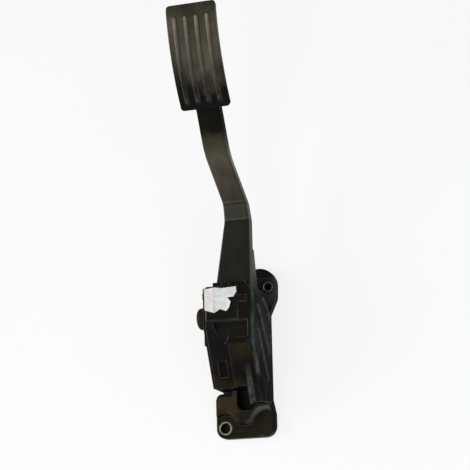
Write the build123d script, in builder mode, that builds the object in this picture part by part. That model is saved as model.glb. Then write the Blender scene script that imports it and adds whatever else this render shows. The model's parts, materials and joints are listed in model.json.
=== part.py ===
from build123d import *
from math import cos, radians, sin
import os

# Accelerator pedal module of a drive-by-wire car: a moulded housing that bolts to the
# bulkhead, a sprung lever with its pad, and the position sensor beside the pivot.
# Millimetres. The origin is on the axis of the lower fixing sleeve, in the mounting plane.
# X points to the right, Y towards the pad and Z out of the bulkhead, towards the driver.

os.makedirs("parts", exist_ok=True)

# Clearances
fit_gap = 0.02
run_gap = 0.04
washer_gap = 0.1
body_gap = 0.3
plate_gap = 0.2

# Fixing sleeves
sleeve_bore = 8.4
sleeve_wall = 1.4
foot_height = 9.0
upper_bore = 6.4
upper_wall = 1.0
upper_fixing_x = 39.2
upper_fixing_reach = 5.1

# Pivot and lever hub
pivot_y = 87.0
pivot_z = 33.0
travel_angle = 13.0
shaft_radius = 4.0
drum_radius = 12.0
drum_clearance = 2.6
hub_left = 15.5
hub_width = 17.0
washer_thickness = 0.8
washer_rim = 3.4
boss_radius = 8.0
bush_wall = 1.6
blind_wall = 1.0
shaft_end_gap = 0.4
shaft_hole_gap = 1.0
shaft_chamfer = 0.5

# Housing
roof_wall = 2.4
side_wall = 2.6
housing_left = -1.8
housing_right = 39.0
housing_end = 109.5
toe_y = 17.5
toe_height = 27.0
slope_top_y = 64.0
slope_skew = 12.0
slope_step_x = 16.5
slope_wall = 5.0
roof_edge_radius = 4.5
partition_wall = 2.5
chamber_left = 12.5
chamber_start_y = 42.0
sill_height = 8.0
sill_wall = 3.0
slot_left = 4.8
slot_start_y = 99.5
visor_reach = 3.2

# Foot and ear
foot_left = -8.2
foot_right = 41.5
foot_low_y = -8.5
foot_edge = 2.2
foot_taper_y = 10.0
foot_wing = 4.0
foot_left_reach = 11.0
foot_bends = (8.2, 9.0, 6.0, 3.0, 0.5, 0.5, 0.5, 5.0)
slab_height = 5.0
slab_low_y = 2.0
slab_top_y = 25.0
slab_edge = 1.8
slab_wing = 1.0
slab_bends = (0.5, 0.5, 6.0, 0.5, 0.5, 0.5, 0.5, 2.0, 3.0)
slab_tip_radius = 5.0
slab_round = 3.5
neck_left = 8.3
spot_radius = 10.5
right_spot_radius = 13.0
right_spot_x = 36.0
right_spot_y = 0.5
pocket_left = 12.0
pocket_right = 27.0
pocket_low_y = 13.0
pocket_top_y = 30.0
pocket_bends = (6.0, 5.0, 0.5, 0.5)
pocket_floor = 4.0
slope_rib_width = 2.6
slope_rib_height = 1.5
slope_rib_end_y = 48.0
ear_x = 30.2
ear_rise = 1.5
ear_radius = 15.2
ear_side_x = 31.0
ear_side_drop = 6.6
ear_side_radius = 14.2
ear_root_reach = 17.5
ear_root_radius = 3.0
ear_step = 3.0
ear_step_rise = 7.6
ear_relief = 7.4
core_depth = 6.0
core_wall = 3.0
core_x = 27.0
core_y = 2.5
core_pitch_x = 13.0
core_pitch_y = 9.5

# Roof details
recess_depth = 3.0
recess_left = 4.0
recess_slant = 5.0
recess_start_y = 67.5
recess_end_y = 81.0
recess_wall = 1.4
panel_height = 1.2
panel_inset = 1.0
panel_right = 26.0
panel_start_y = 82.0
bar_start_y = 95.5
bar_end_y = 101.0
lip_width = 2.4
lip_height = 1.4
lip_left = 15.0
notch_width = 2.6
notch_depth = 3.0
notch_pitch = 6.0
slope_pocket_left = 3.5
slope_pocket_right = 11.0
slope_pocket_start_y = 38.5
slope_pocket_end_y = 51.0
slope_pocket_depth = 2.4
wall_rib_width = 2.0
wall_rib_height = 1.5
wall_rib_arc = ((101.5, 30.0), (96.0, 17.0), (74.0, 6.0))
wall_rib_lines = (((94.0, 40.0), (58.0, 12.0)), ((74.0, 41.0), (36.0, 16.0)))

# Sensor chamber, cover and connector
sensor_start_y = 45.0
sensor_end_y = 97.0
sensor_floor = 5.0
sensor_roof_wall = 5.0
cover_plate = 2.2
cover_margin = 0.8
dome_radius = 9.0
dome_length = 9.0
dome_end_wall = 1.5
dome_edge = 3.0
seal_offset = 1.2
seal_width = 1.4
seal_depth = 1.0
screw_inset = 6.5
screw_rise = 4.0
screw_drop = 2.0
screw_slope_drop = 13.0
screw_end_gap = 0.5
screw_radius = 1.45
screw_length = 7.0
head_radius = 2.8
head_height = 2.0
drive_radius = 1.2
drive_depth = 1.2
screw_bite = 3.5
shroud_y = 79.0
shroud_z = 13.5
shroud_length = 24.0
shroud_height = 15.0
shroud_wall = 1.6
shroud_reach = 9.0
shroud_floor = 1.7
latch_width = 5.0
latch_height = 1.0
latch_length = 3.5
board_left = 3.0
board_thickness = 1.6
board_gap = 1.0
post_radius = 2.2
post_inset = 3.2
stake_radius = 1.0
stake_length = 1.2
pin_size = 0.8
pin_pitch_y = 5.0
pin_pitch_z = 4.4
pin_reach = 8.0
chip_length = 5.0
chip_width = 4.4
chip_height = 1.2
chip_y = 66.0
chip_z = 27.0
rotor_radius = 8.0
rotor_disc = 2.2
rotor_hub_radius = 5.6
rotor_length = 3.6
rotor_gap = 0.5
loop_thickness = 0.5
loop_width = 1.9

# Rear cover and stops
rear_plate = 3.0
rear_margin = 7.8
rebate = 1.2
tab_width = 5.5
tab_length = 7.0
tab_inset = 0.5
rear_screw_inset = 4.0
post_thickness = 3.5
post_width = 12.0
post_height = 10.0
post_web_length = 7.0
post_web_drop = 3.0
idle_stop_depth = 3.7
idle_stop_width = 8.0
stop_edge = 0.8

# Springs and friction lever
spring_z = 12.5
outer_coil_radius = 7.1
outer_wire_radius = 0.9
outer_turns = 6.5
inner_coil_radius = 4.9
inner_wire_radius = 0.6
inner_turns = 7.5
wire_sides = 8
spigot_length = 4.0
spigot_gap = 0.5
seat_y = 48.0
seat_thickness = 3.0
friction_width = 15.0
friction_pin_y = 57.0
friction_pin_z = 28.5
friction_pin_radius = 2.0
pin_boss_radius = 4.5
shoe_run = 10.0
shoe_rise = 9.5
lining_thickness = 1.5
lining_low_angle = 163.0
lining_high_angle = 203.0

# Lever arm and pad
heel_thickness = 9.0
heel_width = 14.0
heel_end_z = 6.0
lever_roof_gap = 0.8
arm_side_gap = 0.8
arm_under_z = 20.0
root_gap = 1.0
root_low_y = 118.0
root_low_rise = 8.0
root_step_y = 140.0
root_step = 3.0
root_step_run = 1.5
arm_flat_length = 64.0
arm_flat_slope = -0.7
band_length = 14.2
band_slope = 10.5
shin_length = 43.7
shin_slope = 23.5
neck_length = 37.0
neck_slope = 29.5
arm_entry_left = 6.0
arm_width = 19.8
arm_mid_x = 24.2
band_flare = 1.4
neck_x = 14.4
arm_depth = 9.5
arm_wall = 2.6
arm_skin = 3.2
arm_edge_radius = 2.0
flare_gap = 4.5
flare_length = 4.5
front_bends = (20.0, 6.0, 6.0, 50.0)
under_bends = (0.8, 30.0, 60.0, 20.0, 20.0, 1.0, 1.0, 15.0, 4.0)
plan_right_bends = (1.5, 6.0, 20.0, 40.0, 60.0, 3.0)
plan_left_bends = (3.0, 60.0, 40.0, 30.0, 3.0, 1.5)
spine_head_slope = 20.0
spine_foot_turn = 1.5
web_thickness = 1.8
web_pitch = 13.0
channel_gap = 5.0
pad_x = 14.6
pad_width = 41.6
pad_thickness = 4.5
pad_radius = 162.0
pad_foot_slope = 40.0
pad_head_slope = 11.8
lip_radius = 14.0
lip_turn = 33.0
pad_corner = 2.8
pad_edge = 1.4
grip_count = 4
grip_pitch = 9.2
grip_radius = 1.8
grip_proud = 1.1
grip_foot_slope = 37.6
grip_head_slope = 13.4

# Paper label
label_thickness = 0.4
label_inset = 1.2
label_edge = [
    (-1.8, 0.8), (7.0, 0.0), (13.0, 1.0), (25.5, 0.6), (26.0, 5.0), (23.0, 8.6), (17.5, 8.8),
    (20.5, 12.4), (19.0, 17.4), (16.5, 19.8), (11.2, 17.8), (6.5, 20.8), (-1.8, 17.8),
]

# Worked-out sizes
sleeve_radius = sleeve_bore / 2 + sleeve_wall
upper_sleeve_radius = upper_bore / 2 + upper_wall
upper_fixing_y = housing_end + upper_fixing_reach
housing_height = pivot_z + drum_radius + drum_clearance + roof_wall
chamber_right = housing_right - side_wall
recess_right = housing_right - roof_edge_radius - panel_inset
chamber_roof = housing_height - roof_wall
chamber_end_y = housing_end - sill_wall
partition_left = chamber_left - partition_wall
slope_rise = (housing_height - toe_height) / (slope_top_y - toe_y)
hub_right = hub_left + hub_width
left_boss_face = hub_left - 2 * washer_gap - washer_thickness
right_boss_face = hub_right + 2 * washer_gap + washer_thickness
hub_x = hub_left + hub_width / 2
bush_radius = shaft_radius + run_gap + bush_wall
cover_face = housing_left - cover_plate
dome_face = cover_face - dome_length
shroud_mouth = cover_face - shroud_reach
board_right = board_left + board_thickness
rotor_left = board_right + rotor_gap + loop_thickness
heel_front_y = pivot_y - heel_thickness / 2
heel_back_y = pivot_y + heel_thickness / 2
arm_right = chamber_right - arm_side_gap
lever_face_z = chamber_roof - lever_roof_gap
drum_face_radius = drum_radius + body_gap
spigot_radius = inner_coil_radius - inner_wire_radius - spigot_gap


def slope_z(y):
    """Height of the right part of the sloping front at a place along it."""
    return toe_height + (y - toe_y) * slope_rise


def low_slope_z(y):
    """Height of the set-back left part of the sloping front at a place along it."""
    return slope_z(y - slope_skew)


def low_slope_y(z):
    """Place where the set-back left part of the sloping front reaches a height."""
    return toe_y + slope_skew + (z - toe_height) / slope_rise


def step(start, length, slope):
    """The point a length further along a line of a given slope, in degrees."""
    return start[0] + length * cos(radians(slope)), start[1] + length * sin(radians(slope))


def under(point, slope):
    """The point on the back of the arm behind a point of its front line."""
    return step(point, arm_depth, slope - 90)


def pressed(y, z):
    """Where a point of the lever is when the pedal is fully down."""
    turn = radians(travel_angle)
    dy = y - pivot_y
    dz = z - pivot_z
    return pivot_y + dy * cos(turn) + dz * sin(turn), pivot_z + dz * cos(turn) - dy * sin(turn)


def around_pivot(radius, angle):
    """A point around the pivot, the angle counted from Y towards Z."""
    return pivot_y + radius * cos(radians(angle)), pivot_z + radius * sin(radians(angle))


def span(low_a, high_a, low_b, high_b, mode=Mode.ADD):
    """A rectangle from its lower to its upper corner in the sketch at hand."""
    with Locations(((low_a + high_a) / 2, (low_b + high_b) / 2)):
        Rectangle(high_a - low_a, high_b - low_b, mode=mode)


# Points of the arm's front line, from the hub to the foot of the pad
arm_root = (pivot_y + drum_radius + root_gap, lever_face_z)
crease_low = step(arm_root, arm_flat_length, arm_flat_slope)
crease_high = step(crease_low, band_length, band_slope)
knee = step(crease_high, shin_length, shin_slope)
pad_foot = step(knee, neck_length, neck_slope)
pad_center = (
    pad_foot[0] + (pad_radius - pad_thickness) * sin(radians(pad_foot_slope)),
    pad_foot[1] - (pad_radius - pad_thickness) * cos(radians(pad_foot_slope)),
)
lip_offset = pad_radius - lip_radius
lip_center = (
    pad_center[0] - lip_offset * sin(radians(pad_head_slope)),
    pad_center[1] + lip_offset * cos(radians(pad_head_slope)),
)


def on_pad(radius, slope, center=pad_center):
    """A point of the pad's section, where its surface has a given slope in degrees."""
    return center[0] - radius * sin(radians(slope)), center[1] + radius * cos(radians(slope))


def on_lip(radius, slope):
    """A point of the rolled lip at the head of the pad."""
    return on_pad(radius, slope, lip_center)


def box_outline(set_back):
    """Side view of the housing box, its sloping front set back by a distance."""
    return [
        (toe_y + set_back, 0),
        (housing_end, 0),
        (housing_end, housing_height),
        (slope_top_y + set_back, housing_height),
        (toe_y + set_back, toe_height),
    ]


# Outline of the sensor chamber, seen from the side
sensor_roof = housing_height - sensor_roof_wall
sensor_outline = [
    (sensor_start_y, sensor_floor),
    (sensor_end_y, sensor_floor),
    (sensor_end_y, sensor_roof),
    (low_slope_y(sensor_roof + sensor_roof_wall), sensor_roof),
    (sensor_start_y, low_slope_z(sensor_start_y) - sensor_roof_wall),
]
cover_screw_places = [
    (sensor_end_y + screw_inset, sensor_floor + screw_rise),
    (sensor_end_y + screw_inset, sensor_roof - screw_drop),
    (sensor_start_y - screw_inset, sensor_floor + screw_rise),
    (sensor_start_y - screw_inset, low_slope_z(sensor_start_y - screw_inset) - screw_slope_drop),
]
slope_post_y = sensor_start_y + 3 * post_inset
board_post_places = [
    (sensor_start_y + post_inset, sensor_floor + post_inset),
    (sensor_end_y - post_inset, sensor_floor + post_inset),
    (sensor_end_y - post_inset, sensor_roof - post_inset),
    (slope_post_y, low_slope_z(slope_post_y) - sensor_roof_wall - 2 * post_radius),
]
rear_left = chamber_left - rebate
rear_right = chamber_right + rebate
rear_start_y = chamber_start_y - rear_margin
rear_end_y = chamber_end_y + rebate
tab_start_y = slot_start_y + tab_inset
tab_end_y = tab_start_y + tab_length
rear_screw_y = rear_start_y + head_radius + 2 * plate_gap
rear_screw_places = [
    (chamber_left + rear_screw_inset, rear_screw_y),
    (chamber_right - rear_screw_inset, rear_screw_y),
    (rear_left - head_radius / 2, (tab_start_y + tab_end_y) / 2),
]
pin_places = [
    (shroud_y + column * pin_pitch_y, shroud_z + row * pin_pitch_z)
    for row in (-0.5, 0.5)
    for column in (-1, 0, 1)
]


# Foot of the housing, its lower edge rounded over
with BuildPart() as foot:
    with BuildSketch():
        with BuildLine():
            FilletPolyline(
                (foot_left, foot_low_y),
                (foot_right, foot_low_y),
                (foot_right, foot_taper_y),
                (housing_right, toe_y + foot_wing),
                (housing_right, toe_y + slope_skew + slab_edge),
                (housing_left, toe_y + slope_skew + slab_edge),
                (housing_left, toe_y + foot_left_reach),
                (foot_left, toe_y + foot_left_reach),
                radius=foot_bends,
                close=True,
            )
        make_face()
    extrude(amount=foot_height)
    foot_rim = foot.faces().sort_by(Axis.Z)[-1].edges()
    fillet(foot_rim.filter_by(lambda edge: edge.center().Y < pocket_low_y), radius=foot_edge)

# Raised slab on the foot, with a ramp down to the two round spot faces
slab_left = foot_left + slab_edge
slab_right = foot_right - slab_edge
neck_end_y = toe_y + slope_skew + slab_wing
with BuildPart() as foot_slab:
    with BuildSketch(Plane.XY.offset(foot_height)) as slab_outline:
        with BuildLine():
            FilletPolyline(
                (slab_left, slab_low_y),
                (slab_right, slab_low_y),
                (slab_right, foot_taper_y),
                (housing_right, toe_y + slab_wing),
                (pocket_left + slab_wing, toe_y + slab_wing),
                (pocket_left + slab_wing, neck_end_y),
                (neck_left, neck_end_y),
                (neck_left, slab_top_y),
                (slab_left, slab_top_y),
                radius=slab_bends,
                close=True,
            )
        make_face()
        Circle(spot_radius, mode=Mode.SUBTRACT)
        with Locations((right_spot_x, right_spot_y)):
            Circle(right_spot_radius, mode=Mode.SUBTRACT)
        fillet(slab_outline.vertices().sort_by(Axis.Y)[:2], radius=slab_tip_radius)
    extrude(amount=slab_height)
    slab_rim = foot_slab.faces().sort_by(Axis.Z)[-1].edges()
    fillet(slab_rim.filter_by(lambda edge: edge.center().Y < pocket_low_y), radius=slab_round)

# Housing: one moulding with the foot, the ear, the lever chamber and the sensor chamber
with BuildPart() as housing:
    with BuildSketch(Plane.YZ.offset(slope_step_x)):
        with BuildLine():
            Polyline(*box_outline(0), close=True)
        make_face()
    extrude(amount=housing_right - slope_step_x)
    right_edges = housing.faces().sort_by(Axis.X)[-1].edges().filter_by(Axis.Z, reverse=True)
    fillet(right_edges.sort_by(Axis.Z)[1:], radius=roof_edge_radius)
    with BuildSketch(Plane.YZ.offset(housing_left)):
        with BuildLine():
            Polyline(*box_outline(slope_skew), close=True)
        make_face()
    extrude(amount=slope_step_x - housing_left)

    # Recess, label panel, cross bar and lip on the roof
    with BuildSketch(Plane.XY.offset(housing_height)):
        with BuildLine():
            Polyline(
                (recess_left, recess_end_y),
                (recess_left + recess_slant, recess_start_y),
                (recess_right, recess_start_y),
                (recess_right, recess_end_y),
                close=True,
            )
        make_face()
    extrude(amount=-recess_depth, mode=Mode.SUBTRACT)
    with BuildSketch(Plane.XY.offset(housing_height)):
        span(housing_left + panel_inset, panel_right, panel_start_y, housing_end)
        span(panel_right, recess_right, bar_start_y, bar_end_y)
    extrude(amount=panel_height)
    with BuildSketch(Plane.XY.offset(chamber_roof)):
        span(slot_left, recess_right, housing_end, housing_end + visor_reach)
        with Locations((slot_left + notch_pitch, housing_end + visor_reach)):
            with GridLocations(notch_pitch, 1, 3, 1, align=(Align.MIN, Align.CENTER)):
                Rectangle(notch_width, 2 * notch_depth, mode=Mode.SUBTRACT)
    extrude(amount=roof_wall)
    with BuildSketch(Plane.XY.offset(housing_height)):
        span(lip_left, recess_right, slope_top_y - lip_width, slope_top_y)
    extrude(amount=lip_height, both=True)

    # Shallow pocket in the sloping front, over the sensor
    with BuildSketch(Plane.YZ.offset(slope_pocket_left)):
        with BuildLine():
            Polyline(
                (slope_pocket_start_y, low_slope_z(slope_pocket_start_y) - slope_pocket_depth),
                (slope_pocket_end_y, low_slope_z(slope_pocket_end_y) - slope_pocket_depth),
                (slope_pocket_end_y, housing_height),
                (slope_pocket_start_y, housing_height),
                close=True,
            )
        make_face()
    extrude(amount=slope_pocket_right - slope_pocket_left, mode=Mode.SUBTRACT)

    # Foot with its slab, and the rib that runs down the slope to the toe
    add(foot.part)
    add(foot_slab.part)
    with BuildSketch(Plane.YZ.offset(pocket_right)):
        with BuildLine():
            Polyline(
                (toe_y - slope_rib_height, foot_height),
                (toe_y - slope_rib_height, toe_height),
                (slope_rib_end_y, slope_z(slope_rib_end_y)),
                (slope_rib_end_y, foot_height),
                close=True,
            )
        make_face()
    extrude(amount=slope_rib_width)

    # Open pocket beside the toe
    with BuildSketch(Plane.XY.offset(pocket_floor)):
        with BuildLine():
            FilletPolyline(
                (pocket_left, pocket_low_y),
                (pocket_right, pocket_low_y),
                (pocket_right, pocket_top_y),
                (pocket_left, pocket_top_y),
                radius=pocket_bends,
                close=True,
            )
        make_face()
    extrude(amount=housing_height, mode=Mode.SUBTRACT)

    # Ear with the upper fixing, thinner along its outer edge
    ear_y = upper_fixing_y + ear_rise
    with BuildSketch():
        with Locations((ear_x, ear_y)):
            Circle(ear_radius)
        with Locations((ear_side_x, upper_fixing_y - ear_side_drop)):
            Circle(ear_side_radius)
        with Locations((housing_right - ear_root_radius, housing_end - ear_root_reach)):
            Circle(ear_root_radius)
        make_hull()
    extrude(amount=foot_height)
    with BuildSketch(Plane.XY.offset(foot_height)):
        span(ear_x - ear_radius, ear_x + ear_radius,
             upper_fixing_y + ear_step_rise, ear_y + ear_radius)
    extrude(amount=-ear_step, mode=Mode.SUBTRACT)

    # Relief for a socket over the upper fixing
    with BuildSketch(Plane.XY.offset(foot_height)):
        with Locations((upper_fixing_x, upper_fixing_y)):
            Circle(ear_relief)
    extrude(amount=housing_height, mode=Mode.SUBTRACT)

    # Ribs on the right wall
    with BuildSketch(Plane.YZ.offset(housing_right)):
        with BuildLine():
            ThreePointArc(*wall_rib_arc)
            for rib_ends in wall_rib_lines:
                Line(*rib_ends)
        trace(line_width=wall_rib_width)
    extrude(amount=wall_rib_height)

    # Lever chamber, open at the back, with the slot for the arm
    with BuildSketch(Plane.YZ.offset(chamber_left)):
        with BuildLine():
            Polyline(
                (chamber_start_y, 0),
                (chamber_end_y, 0),
                (chamber_end_y, chamber_roof),
                (recess_end_y + recess_wall, chamber_roof),
                (recess_end_y + recess_wall, chamber_roof - recess_depth),
                (low_slope_y(chamber_roof - recess_depth + slope_wall), chamber_roof - recess_depth),
                (chamber_start_y, low_slope_z(chamber_start_y) - slope_wall),
                close=True,
            )
        make_face()
    extrude(amount=chamber_right - chamber_left, mode=Mode.SUBTRACT)
    with BuildSketch(Plane.YZ.offset(slot_left)):
        span(slot_start_y, housing_end, sill_height, chamber_roof)
    extrude(amount=chamber_right - slot_left, mode=Mode.SUBTRACT)

    # Pivot bosses and friction pin bosses inside the lever chamber
    with BuildSketch(Plane.YZ.offset(chamber_left)):
        with Locations((pivot_y, pivot_z)):
            Circle(boss_radius)
    extrude(amount=left_boss_face - chamber_left)
    with BuildSketch(Plane.YZ.offset(right_boss_face)):
        with Locations((pivot_y, pivot_z)):
            Circle(boss_radius)
    extrude(amount=chamber_right - right_boss_face)
    with BuildSketch(Plane.YZ.offset(chamber_left)):
        with Locations((friction_pin_y, friction_pin_z)):
            Circle(pin_boss_radius)
    extrude(amount=hub_x - friction_width / 2 - body_gap - chamber_left)
    with BuildSketch(Plane.YZ.offset(chamber_right)):
        with Locations((friction_pin_y, friction_pin_z)):
            Circle(pin_boss_radius)
    extrude(amount=hub_x + friction_width / 2 + body_gap - chamber_right)

    # Sensor chamber, open to the left, with its seal groove and board posts
    with BuildSketch(Plane.YZ.offset(housing_left)) as sensor_mouth:
        with BuildLine():
            Polyline(*sensor_outline, close=True)
        make_face()
    extrude(amount=partition_left - housing_left, mode=Mode.SUBTRACT)
    with BuildSketch(Plane.YZ.offset(housing_left)):
        add(sensor_mouth.sketch_local)
        offset(amount=seal_offset + seal_width + fit_gap)
        with BuildSketch(mode=Mode.PRIVATE) as groove_inside:
            add(sensor_mouth.sketch_local)
            offset(amount=seal_offset - fit_gap)
        add(groove_inside.sketch_local, mode=Mode.SUBTRACT)
    extrude(amount=seal_depth, mode=Mode.SUBTRACT)
    with BuildSketch(Plane.YZ.offset(partition_left)):
        with Locations(*board_post_places):
            Circle(post_radius)
    extrude(amount=board_right - partition_left)
    with BuildSketch(Plane.YZ.offset(board_right)):
        with Locations(*board_post_places):
            Circle(stake_radius)
    extrude(amount=-board_thickness - stake_length)

    # Bores for the shaft, the right bush, the friction pin, the sleeves and the screws
    with BuildSketch(Plane.YZ.offset(partition_left)):
        with Locations((pivot_y, pivot_z)):
            Circle(shaft_radius + shaft_hole_gap)
    extrude(amount=left_boss_face - partition_left, mode=Mode.SUBTRACT)
    with BuildSketch(Plane.YZ.offset(right_boss_face)):
        with Locations((pivot_y, pivot_z)):
            Circle(bush_radius + fit_gap)
    extrude(amount=housing_right - blind_wall - right_boss_face, mode=Mode.SUBTRACT)
    with BuildSketch(Plane.YZ.offset(partition_left)):
        with Locations((friction_pin_y, friction_pin_z)):
            Circle(friction_pin_radius + fit_gap)
    extrude(amount=housing_right - blind_wall - partition_left, mode=Mode.SUBTRACT)
    with BuildSketch():
        Circle(sleeve_radius + fit_gap)
        with Locations((upper_fixing_x, upper_fixing_y)):
            Circle(upper_sleeve_radius + fit_gap)
    extrude(amount=foot_height + slab_height, mode=Mode.SUBTRACT)
    with BuildSketch(Plane.YZ.offset(housing_left)):
        with Locations(*cover_screw_places):
            Circle(screw_radius + fit_gap)
    extrude(amount=screw_length - cover_plate + screw_end_gap, mode=Mode.SUBTRACT)
    with BuildSketch():
        with Locations(*rear_screw_places):
            Circle(screw_radius + fit_gap)
    extrude(amount=rear_plate + screw_bite + screw_end_gap, mode=Mode.SUBTRACT)

    # Rebate for the rear cover and cores in the back of the foot
    with BuildSketch() as rear_outline:
        span(rear_left, rear_right, rear_start_y, rear_end_y)
        span(rear_left - tab_width, rear_left, tab_start_y, tab_end_y)
    extrude(amount=rear_plate, mode=Mode.SUBTRACT)
    with BuildSketch():
        with Locations((core_x, core_y)):
            with GridLocations(core_pitch_x, core_pitch_y, 2, 2):
                Rectangle(core_pitch_x - core_wall, core_pitch_y - core_wall)
    extrude(amount=core_depth, mode=Mode.SUBTRACT)
housing.part.label = "housing"
export_step(housing.part, "parts/housing.step")

# Rear cover: a flat plate in the rebate, with the post that carries both stops
post_y = heel_back_y + body_gap + idle_stop_depth
post_top = rear_plate + post_height
with BuildPart() as rear_cover:
    with BuildSketch():
        add(rear_outline.sketch)
        offset(amount=-plate_gap)
        with Locations(*rear_screw_places):
            Circle(screw_radius + fit_gap, mode=Mode.SUBTRACT)
    extrude(amount=rear_plate)
    with BuildSketch(Plane.XY.offset(rear_plate)):
        span(hub_x - post_width / 2, hub_x + post_width / 2, post_y, post_y + post_thickness)
    extrude(amount=post_height)
    with BuildSketch(Plane.YZ.offset(hub_x - web_thickness / 2)):
        with BuildLine():
            Polyline(
                (post_y + post_thickness, rear_plate),
                (post_y + post_thickness + post_web_length, rear_plate),
                (post_y + post_thickness, post_top - post_web_drop),
                close=True,
            )
        make_face()
    extrude(amount=web_thickness)
    with Locations(*rear_screw_places):
        Cone(head_radius, screw_radius, head_height, align=(Align.CENTER, Align.CENTER, Align.MIN),
             mode=Mode.SUBTRACT)
rear_cover.part.label = "rear_cover"
export_step(rear_cover.part, "parts/rear_cover.step")

# Countersunk screws of the rear cover
with BuildPart() as rear_screws:
    with Locations(*rear_screw_places):
        Cone(head_radius - fit_gap, screw_radius, head_height,
             align=(Align.CENTER, Align.CENTER, Align.MIN))
        Cylinder(screw_radius, rear_plate + screw_bite,
                 align=(Align.CENTER, Align.CENTER, Align.MIN))
        Cylinder(drive_radius, drive_depth, align=(Align.CENTER, Align.CENTER, Align.MIN),
                 mode=Mode.SUBTRACT)
rear_screws.part.label = "rear_screws"
export_step(rear_screws.part, "parts/rear_screws.step")

# Sensor cover: the left lid, with the dome over the shaft and the connector shroud
shroud_back = board_left - board_gap
socket_floor = shroud_back - shroud_floor
with BuildPart() as sensor_cover:
    with BuildSketch(Plane.YZ.offset(housing_left)):
        with BuildLine():
            Polyline(*box_outline(slope_skew), close=True)
        make_face()
        offset(amount=-cover_margin)
    extrude(amount=-cover_plate)
    with BuildSketch(Plane.YZ.offset(cover_face)):
        with Locations((pivot_y, pivot_z)):
            Circle(dome_radius)
    extrude(amount=-dome_length)
    fillet(sensor_cover.faces().sort_by(Axis.X)[0].edges(), radius=dome_edge)
    with BuildSketch(Plane.YZ.offset(shroud_mouth)):
        with Locations((shroud_y, shroud_z)):
            RectangleRounded(shroud_length, shroud_height, shroud_wall)
    extrude(amount=shroud_back - shroud_mouth)
    with BuildSketch(Plane.XY.offset(shroud_z + shroud_height / 2)):
        span(shroud_mouth + latch_height, shroud_mouth + latch_height + latch_length,
             shroud_y - latch_width / 2, shroud_y + latch_width / 2)
    extrude(amount=latch_height)
    with BuildSketch(Plane.YZ.offset(shroud_mouth)):
        with Locations((shroud_y, shroud_z)):
            Rectangle(shroud_length - 2 * shroud_wall, shroud_height - 2 * shroud_wall)
    extrude(amount=socket_floor - shroud_mouth, mode=Mode.SUBTRACT)
    with BuildSketch(Plane.YZ.offset(socket_floor)):
        with Locations(*pin_places):
            Rectangle(pin_size + 2 * fit_gap, pin_size + 2 * fit_gap)
    extrude(amount=shroud_floor, mode=Mode.SUBTRACT)
    with BuildSketch(Plane.YZ.offset(dome_face + dome_end_wall)):
        with Locations((pivot_y, pivot_z)):
            Circle(bush_radius + fit_gap)
    extrude(amount=housing_left - dome_face - dome_end_wall, mode=Mode.SUBTRACT)
    with BuildSketch(Plane.YZ.offset(cover_face)):
        with Locations(*cover_screw_places):
            Circle(screw_radius + fit_gap)
    extrude(amount=cover_plate, mode=Mode.SUBTRACT)
sensor_cover.part.label = "sensor_cover"
export_step(sensor_cover.part, "parts/sensor_cover.step")

# Seal in the groove under the sensor cover
with BuildPart() as cover_seal:
    with BuildSketch(Plane.YZ.offset(housing_left)):
        add(sensor_mouth.sketch_local)
        offset(amount=seal_offset + seal_width)
        with BuildSketch(mode=Mode.PRIVATE) as seal_inside:
            add(sensor_mouth.sketch_local)
            offset(amount=seal_offset)
        add(seal_inside.sketch_local, mode=Mode.SUBTRACT)
    extrude(amount=seal_depth)
cover_seal.part.label = "cover_seal"
export_step(cover_seal.part, "parts/cover_seal.step")

# Pan-head screws of the sensor cover
with BuildPart() as cover_screws:
    with BuildSketch(Plane.YZ.offset(cover_face)):
        with Locations(*cover_screw_places):
            Circle(screw_radius)
    extrude(amount=screw_length)
    with BuildSketch(Plane.YZ.offset(cover_face)):
        with Locations(*cover_screw_places):
            Circle(head_radius)
    extrude(amount=-head_height)
    with BuildSketch(Plane.YZ.offset(cover_face - head_height)):
        with Locations(*cover_screw_places):
            RegularPolygon(drive_radius, 6)
    extrude(amount=drive_depth, mode=Mode.SUBTRACT)
cover_screws.part.label = "cover_screws"
export_step(cover_screws.part, "parts/cover_screws.step")

# Sensor board, heat-staked on the posts of the housing
with BuildPart() as sensor_board:
    with BuildSketch(Plane.YZ.offset(board_left)):
        add(sensor_mouth.sketch_local)
        offset(amount=-board_gap)
        with Locations((pivot_y, pivot_z)):
            Circle(shaft_radius + shaft_hole_gap, mode=Mode.SUBTRACT)
        with Locations(*board_post_places):
            Circle(stake_radius + fit_gap, mode=Mode.SUBTRACT)
        with Locations(*pin_places):
            Rectangle(pin_size + 2 * fit_gap, pin_size + 2 * fit_gap, mode=Mode.SUBTRACT)
    extrude(amount=board_thickness)
sensor_board.part.label = "sensor_board"
export_step(sensor_board.part, "parts/sensor_board.step")

# Two signal chips on the board, one for each sensor track
with BuildPart() as board_chips:
    with BuildSketch(Plane.YZ.offset(board_left)):
        with Locations((chip_y, chip_z)):
            with GridLocations(2 * chip_length, 1, 2, 1):
                Rectangle(chip_length, chip_width)
    extrude(amount=-chip_height)
board_chips.part.label = "board_chips"
export_step(board_chips.part, "parts/board_chips.step")

# Six connector pins, from the board into the socket
with BuildPart() as connector_pins:
    with BuildSketch(Plane.YZ.offset(socket_floor - pin_reach)):
        with Locations(*pin_places):
            Rectangle(pin_size, pin_size)
    extrude(amount=board_right + pin_size - socket_floor + pin_reach)
connector_pins.part.label = "connector_pins"
export_step(connector_pins.part, "parts/connector_pins.step")

# Rotor on the shaft, and the metal loop that the board reads
with BuildPart() as rotor:
    with BuildSketch(Plane.YZ.offset(rotor_left)):
        with Locations((pivot_y, pivot_z)):
            Circle(rotor_radius)
            Circle(shaft_radius + fit_gap, mode=Mode.SUBTRACT)
    extrude(amount=rotor_disc)
    with BuildSketch(Plane.YZ.offset(rotor_left + rotor_disc)):
        with Locations((pivot_y, pivot_z)):
            Circle(rotor_hub_radius)
            Circle(shaft_radius + fit_gap, mode=Mode.SUBTRACT)
    extrude(amount=rotor_length - rotor_disc)
rotor.part.label = "rotor"
export_step(rotor.part, "parts/rotor.step")

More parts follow.
